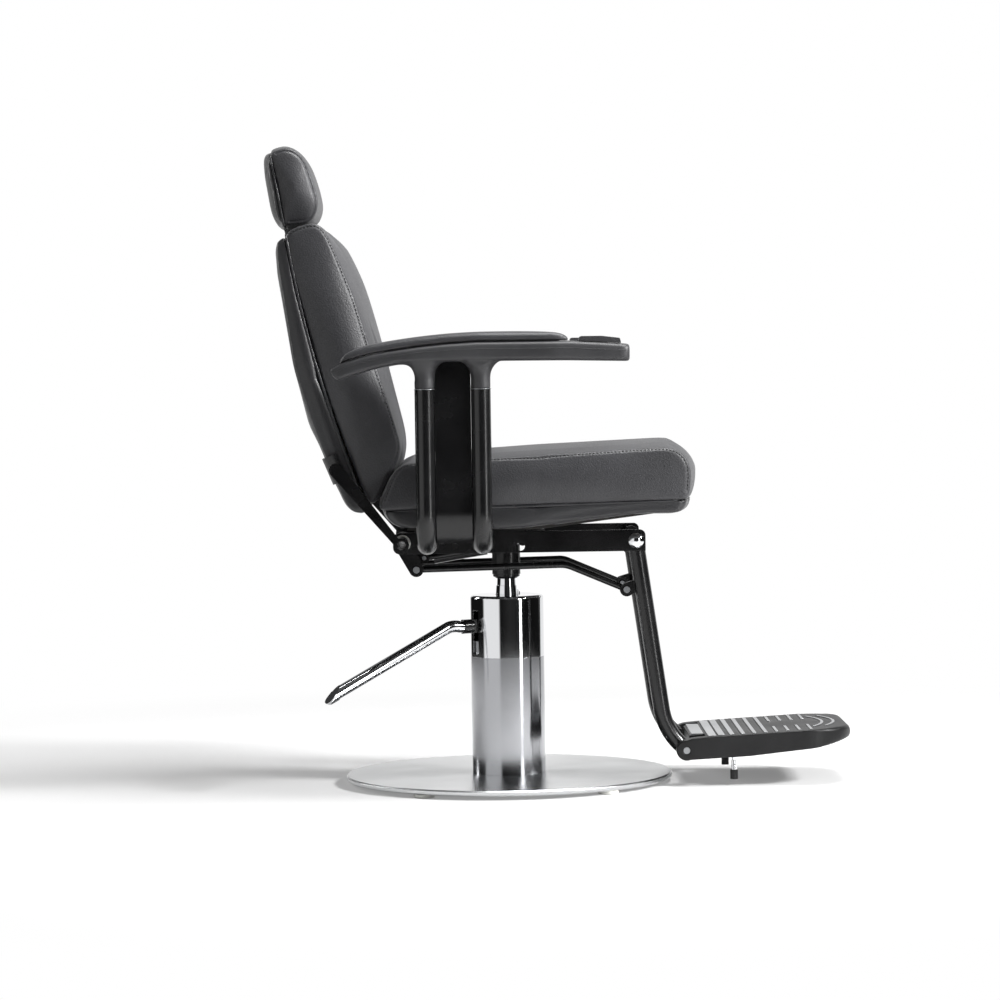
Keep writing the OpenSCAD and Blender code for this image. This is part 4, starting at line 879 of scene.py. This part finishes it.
def lookup(x, table):
    for (a, low), (b, high) in zip(table, table[1:]):
        if x <= b:
            return low + (high - low) * max(0, x - a) / (b - a)
    return table[-1][1]


def relaxed_copy(node, voxel, passes):
    """A merged, finely remeshed and relaxed copy of a solid, free of the frame."""
    alone(frame["nodes"][node])
    bpy.ops.object.duplicate()
    made = bpy.context.active_object
    made.name = made.data.name = node + "_moulding"
    for key in [k for k in made.keys() if k.startswith("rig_")]:
        del made[key]
    made.parent = None
    made.matrix_world = Matrix.Identity(4)
    outward(made)
    made.data.remesh_voxel_size = voxel * MM
    bpy.ops.object.voxel_remesh()
    apply(made, "SMOOTH", factor=0.6, iterations=passes)
    return made


def take_over(piece, material, body, node):
    """Gives a finished copy its look and lets it stand for its solid."""
    alone(piece)
    bpy.ops.object.shade_smooth()
    piece.data.materials.clear()
    piece.data.materials.append(material)
    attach(piece, body)
    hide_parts(node)
    print(piece.name, "faces:", len(piece.data.polygons))


FLARE_Z, FLARE_X = (0.742, 0.779), (-0.20, -0.125)
RIB_START, RIB_STEP, RIB_POINTS = -300, 6.1, 85


def moulded_arm(node, side):
    """Relaxes the rear neck's flare and the front tip further, then adds the parting ribs."""
    arm = relaxed_copy(node, voxel=2.4, passes=9)
    flare = arm.vertex_groups.new(name="flare")
    for v in arm.data.vertices:
        if FLARE_Z[0] < v.co.z < FLARE_Z[1] and FLARE_X[0] < v.co.x < FLARE_X[1]:
            flare.add([v.index], 1.0, "REPLACE")
    apply(arm, "SMOOTH", factor=0.9, iterations=60, vertex_group="flare")
    tip = arm.vertex_groups.new(name="tip")
    front_end = max(v.co.x for v in arm.data.vertices) - 14 * MM
    tip.add([v.index for v in arm.data.vertices if v.co.x > front_end], 1.0, "REPLACE")
    apply(arm, "SMOOTH", factor=0.8, iterations=10, vertex_group="tip")
    skin = BVHTree.FromObject(arm, bpy.context.evaluated_depsgraph_get())
    for face in (-1, 1):
        line = []
        for k in range(RIB_POINTS):
            x = RIB_START + k * RIB_STEP
            z = ARM_TOP_Z + lookup(x, ARM_TOP) * 0.62 + lookup(x, ARM_LOW) * 0.38
            spot = skin.ray_cast(Vector((x, side * ARM_Y + face * 60, z)) * MM, Vector((0, -face, 0)))[0]
            if spot:
                line.append(spot)
        cord_line(f"{node}_parting_rib_{'inner' if face * side < 0 else 'outer'}", line, 0.55, "seat",
                  moulded, closed=False, faces=3)
    take_over(arm, moulded, "seat", node)


for node, side in (("left_arm_body", 1), ("right_arm_body", -1)):
    moulded_arm(node, side)

# %% [markdown]
# ## Footrest casting
# The footrest is sand cast and painted, so it has no sharp corner: its copy is remeshed finer
# than the arms and relaxed a little, and the nose comes out as one smooth curve.

# %% Footrest casting
footrest = relaxed_copy("footrest_body", voxel=1.8, passes=4)
nose_start = max(v.co.x for v in footrest.data.vertices) - 75 * MM
nose = footrest.vertex_groups.new(name="nose")
for v in footrest.data.vertices:
    share = (v.co.x - nose_start) / (30 * MM)
    if share > 0:
        nose.add([v.index], min(share, 1), "REPLACE")
apply(footrest, "SMOOTH", factor=0.9, iterations=45, vertex_group="nose")
take_over(footrest, casting, "footrest", "footrest_body")

# %% [markdown]
# ## Arm pads
# A soft pad is glued along the top of each arm. It is low and loaf-shaped: full in the middle,
# rounded at both ends, with its lower edge tucked in so that a thin dark line shows all round.

# %% Arm pads
def arm_pad(node, side):
    start, end, high = -290, 112, 16.4
    n, count = 40, 64
    verts, faces, edge_line = [], [], []
    for k in range(count + 1):
        s = 0.5 - 0.5 * math.cos(math.pi * k / count)
        x = start + (end - start) * s
        full = math.sqrt(max(1 - abs(2 * s - 1) ** 14, 0.02))
        half = 27 * lookup(x, ARM_WIDE) * (0.55 + 0.45 * full) - 0.5
        low = ARM_TOP_Z + lookup(x, ARM_TOP) + 0.3
        top = high * full * (0.94 + 0.12 * (1 - s))
        for i in range(n):
            a = 2 * math.pi * (i + 0.5) / n
            c, z = math.cos(a), math.sin(a)
            y = side * ARM_Y - half * math.copysign(abs(c) ** 0.5, c)
            rise = 0.22 * (1 - abs(z) ** 0.5) if z < 0 else 0.22 + 0.78 * z ** 0.6
            verts.append((x, y, low + top * rise))
        edge_line += [Vector((x, side * ARM_Y + f * half, low + top * 0.2)) * MM for f in (-1, 1)]
    for k in range(count):
        for i in range(n):
            a, b = k * n + i, k * n + (i + 1) % n
            faces.append((a, b, b + n, a + n))
    faces += [tuple(range(n))[::-1], tuple(range(count * n, (count + 1) * n))]
    mesh = bpy.data.meshes.new(node + "_cover")
    mesh.from_pydata([tuple(c * MM for c in v) for v in verts], [], faces)
    pad = bpy.data.objects.new(node + "_cover", mesh)
    scene.collection.objects.link(pad)
    outward(pad)
    fill(pad, edge_line, voxel=3.0, cap=1.6,
         held=lambda p: p.z < (ARM_TOP_Z + lookup(p.x / MM, ARM_TOP) + 3) * MM)
    dress(pad, hide, "black leather", "seat", 0.7, node)


for node, side in (("left_arm_pad", 1), ("right_arm_pad", -1)):
    arm_pad(node, side)

# %% [markdown]
# ## Collars
# Where a post enters its neck there is a narrow bead of metal. It is a torus added at its real
# size on each post and flattened in edit mode so that it sits like a collar.

# %% Post collars
COLLAR_RADIUS, BEAD_RADIUS, COLLAR_Z = 17.7 * MM, 0.9 * MM, 0.7275
for side, word in ((1, "left"), (-1, "right")):
    for x, place in ((-142, "rear"), (-43, "front")):
        at = (x * MM, side * ARM_Y * MM, COLLAR_Z)
        bpy.ops.object.select_all(action="DESELECT")
        bpy.ops.mesh.primitive_torus_add(location=at, major_radius=COLLAR_RADIUS,
                                         minor_radius=BEAD_RADIUS, major_segments=72, minor_segments=12)
        ring = bpy.context.active_object
        ring.name = f"{word}_{place}_collar"
        bpy.ops.object.mode_set(mode="EDIT")
        bpy.ops.mesh.select_all(action="SELECT")
        bpy.ops.transform.resize(value=(1, 1, 0.7), center_override=at)
        bpy.ops.object.mode_set(mode="OBJECT")
        bpy.ops.object.transform_apply(location=True, rotation=True, scale=True)
        bpy.ops.object.shade_smooth()
        ring.data.materials.append(zinc)
        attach(ring, "seat")
print("collars: 4")

# %% [markdown]
# ## Floor, backdrop and light
# A plain pale floor runs back to white. Lamps light it and the chair keeps its soft shadow,
# while a little emission that only the camera and mirrors see lifts the lit floor to white.
# Further out the floor fades to that white altogether, so no horizon shows.

# %% Floor
FLOOR_RADIUS, FADE_FROM, FADE_TO, FLOOR_LIFT = 2.6, 1.0, 2.0, 0.20
bpy.ops.object.select_all(action="DESELECT")
bpy.ops.mesh.primitive_circle_add(vertices=96, radius=FLOOR_RADIUS, fill_type="NGON", location=(0, 0, 0))
floor = bpy.context.active_object
floor.name = "studio_floor"
pale = bpy.data.materials.new("matt white floor")
pale.use_nodes = True
tree = pale.node_tree
tree.nodes.clear()
where = add(tree, "TexCoord").outputs["Object"]
away = add(tree, "VectorMath", {"operation": "LENGTH"}, i0=where).outputs["Value"]
fade = add(tree, "MapRange", {"interpolation_type": "SMOOTHSTEP"},
           Value=away, i1=FADE_FROM, i2=FADE_TO, i3=0.0, i4=1.0).outputs[0]
path = add(tree, "LightPath")
seen = add(tree, "Math", {"operation": "MAXIMUM"},
           i0=path.outputs["Is Camera Ray"], i1=path.outputs["Is Glossy Ray"]).outputs[0]
seen = add(tree, "Math", {"operation": "MAXIMUM"},
           i0=seen, i1=path.outputs["Is Transmission Ray"]).outputs[0]
matt = add(tree, "BsdfDiffuse", Color=linear("#d5d5d5")).outputs[0]
lift = add(tree, "Math", {"operation": "MULTIPLY"}, i0=seen, i1=FLOOR_LIFT).outputs[0]
glow = add(tree, "Emission", Color=(1, 1, 1, 1), Strength=lift).outputs[0]
lit = add(tree, "AddShader", i0=matt, i1=glow).outputs[0]
white = add(tree, "Emission", Color=(1, 1, 1, 1), Strength=1.0).outputs[0]
far = add(tree, "Math", {"operation": "MULTIPLY"}, i0=fade, i1=seen).outputs[0]
both_ways = add(tree, "MixShader", i0=far, i1=lit, i2=white).outputs[0]
tree.links.new(both_ways, add(tree, "OutputMaterial").inputs[0])
floor.data.materials.append(pale)

# %% [markdown]
# The world is a white room to the camera. To mirrors it is a studio: white behind the chair,
# a wide white panel to the left, dark flags beside it and a dim ceiling. That is what gives a
# chrome cylinder its upright bands, and black paint its single bright lines. To everything
# else the world is a soft, even grey fill. BANDS goes round the room: degrees, then colour.

# %% World
world = bpy.data.worlds.new("studio")
scene.world = world
world.use_nodes = True
tree = world.node_tree
tree.nodes.clear()
way = add(tree, "TexCoord").outputs["Generated"]
split = add(tree, "SeparateXYZ", Vector=way)
towards = add(tree, "Math", {"operation": "MULTIPLY"}, i0=split.outputs["Y"], i1=-1.0).outputs[0]
side_turn = add(tree, "Math", {"operation": "ARCTAN2"}, i0=split.outputs["X"], i1=towards).outputs[0]
turned = add(tree, "MapRange", Value=side_turn, i1=-math.pi, i2=math.pi, i3=0.0, i4=1.0).outputs[0]
ROOM_FILL = 0.10
BANDS = [(-166, "#ffffff"), (-152, "#161616"), (-82, "#161616"), (-76, "#ffffff"),
         (-27, "#ffffff"), (-22, "#141414"), (10, "#2c2c2c"), (60, "#101010"), (120, "#181818"),
         (131, "#ffffff")]
bands = ramp(tree, turned, *[((degrees + 180) / 360, code) for degrees, code in BANDS])
ceiling = ramp(tree, split.outputs["Z"], (0.30, "#000000"), (0.75, "#ffffff"))
room = add(tree, "Mix", {"data_type": "RGBA"}, i0=ceiling, i6=bands, i7=linear("#6a6a6a")).outputs[2]
path = add(tree, "LightPath")
mirror = add(tree, "Math", {"operation": "MAXIMUM"}, i0=path.outputs["Is Glossy Ray"],
             i1=path.outputs["Is Transmission Ray"]).outputs[0]
soft = add(tree, "Background", Color=(1, 1, 1, 1), Strength=ROOM_FILL).outputs[0]
shiny = add(tree, "Background", Color=room, Strength=1.0).outputs[0]
clear = add(tree, "Background", Color=(1, 1, 1, 1), Strength=1.0).outputs[0]
first = add(tree, "MixShader", i0=mirror, i1=soft, i2=shiny).outputs[0]
second = add(tree, "MixShader", i0=path.outputs["Is Camera Ray"], i1=first, i2=clear).outputs[0]
tree.links.new(second, add(tree, "OutputWorld").inputs[0])

# %% [markdown]
# Four soft boxes: one from the chair's front right throws the long shadow to the left, a wide
# one overhead lights seat and arms, and a tall one behind the back rims it. A narrow upright
# strip close by on the right draws the bright line on posts and column.

# %% Lamps
def soft_box(name, place, aim, size, power):
    data = bpy.data.lights.new(name, "AREA")
    data.shape = "RECTANGLE"
    data.size, data.size_y = size
    data.energy = power
    lamp = bpy.data.objects.new(name, data)
    scene.collection.objects.link(lamp)
    lamp.location = place
    lamp.rotation_euler = (Vector(aim) - Vector(place)).to_track_quat("-Z", "Y").to_euler()
    return lamp


soft_box("front_box", (3.3, -1.5, 2.4), (0, 0, 0.6), (0.7, 0.7), 215)
soft_box("top_box", (0.6, -0.2, 3.0), (0, 0, 0.4), (1.4, 1.4), 92)
soft_box("rear_box", (-2.6, 1.2, 1.5), (-0.2, 0, 0.8), (0.5, 1.8), 28)
soft_box("right_strip", (1.07, -1.19, 0.75), (0, 0, 0.75), (0.16, 1.5), 7)

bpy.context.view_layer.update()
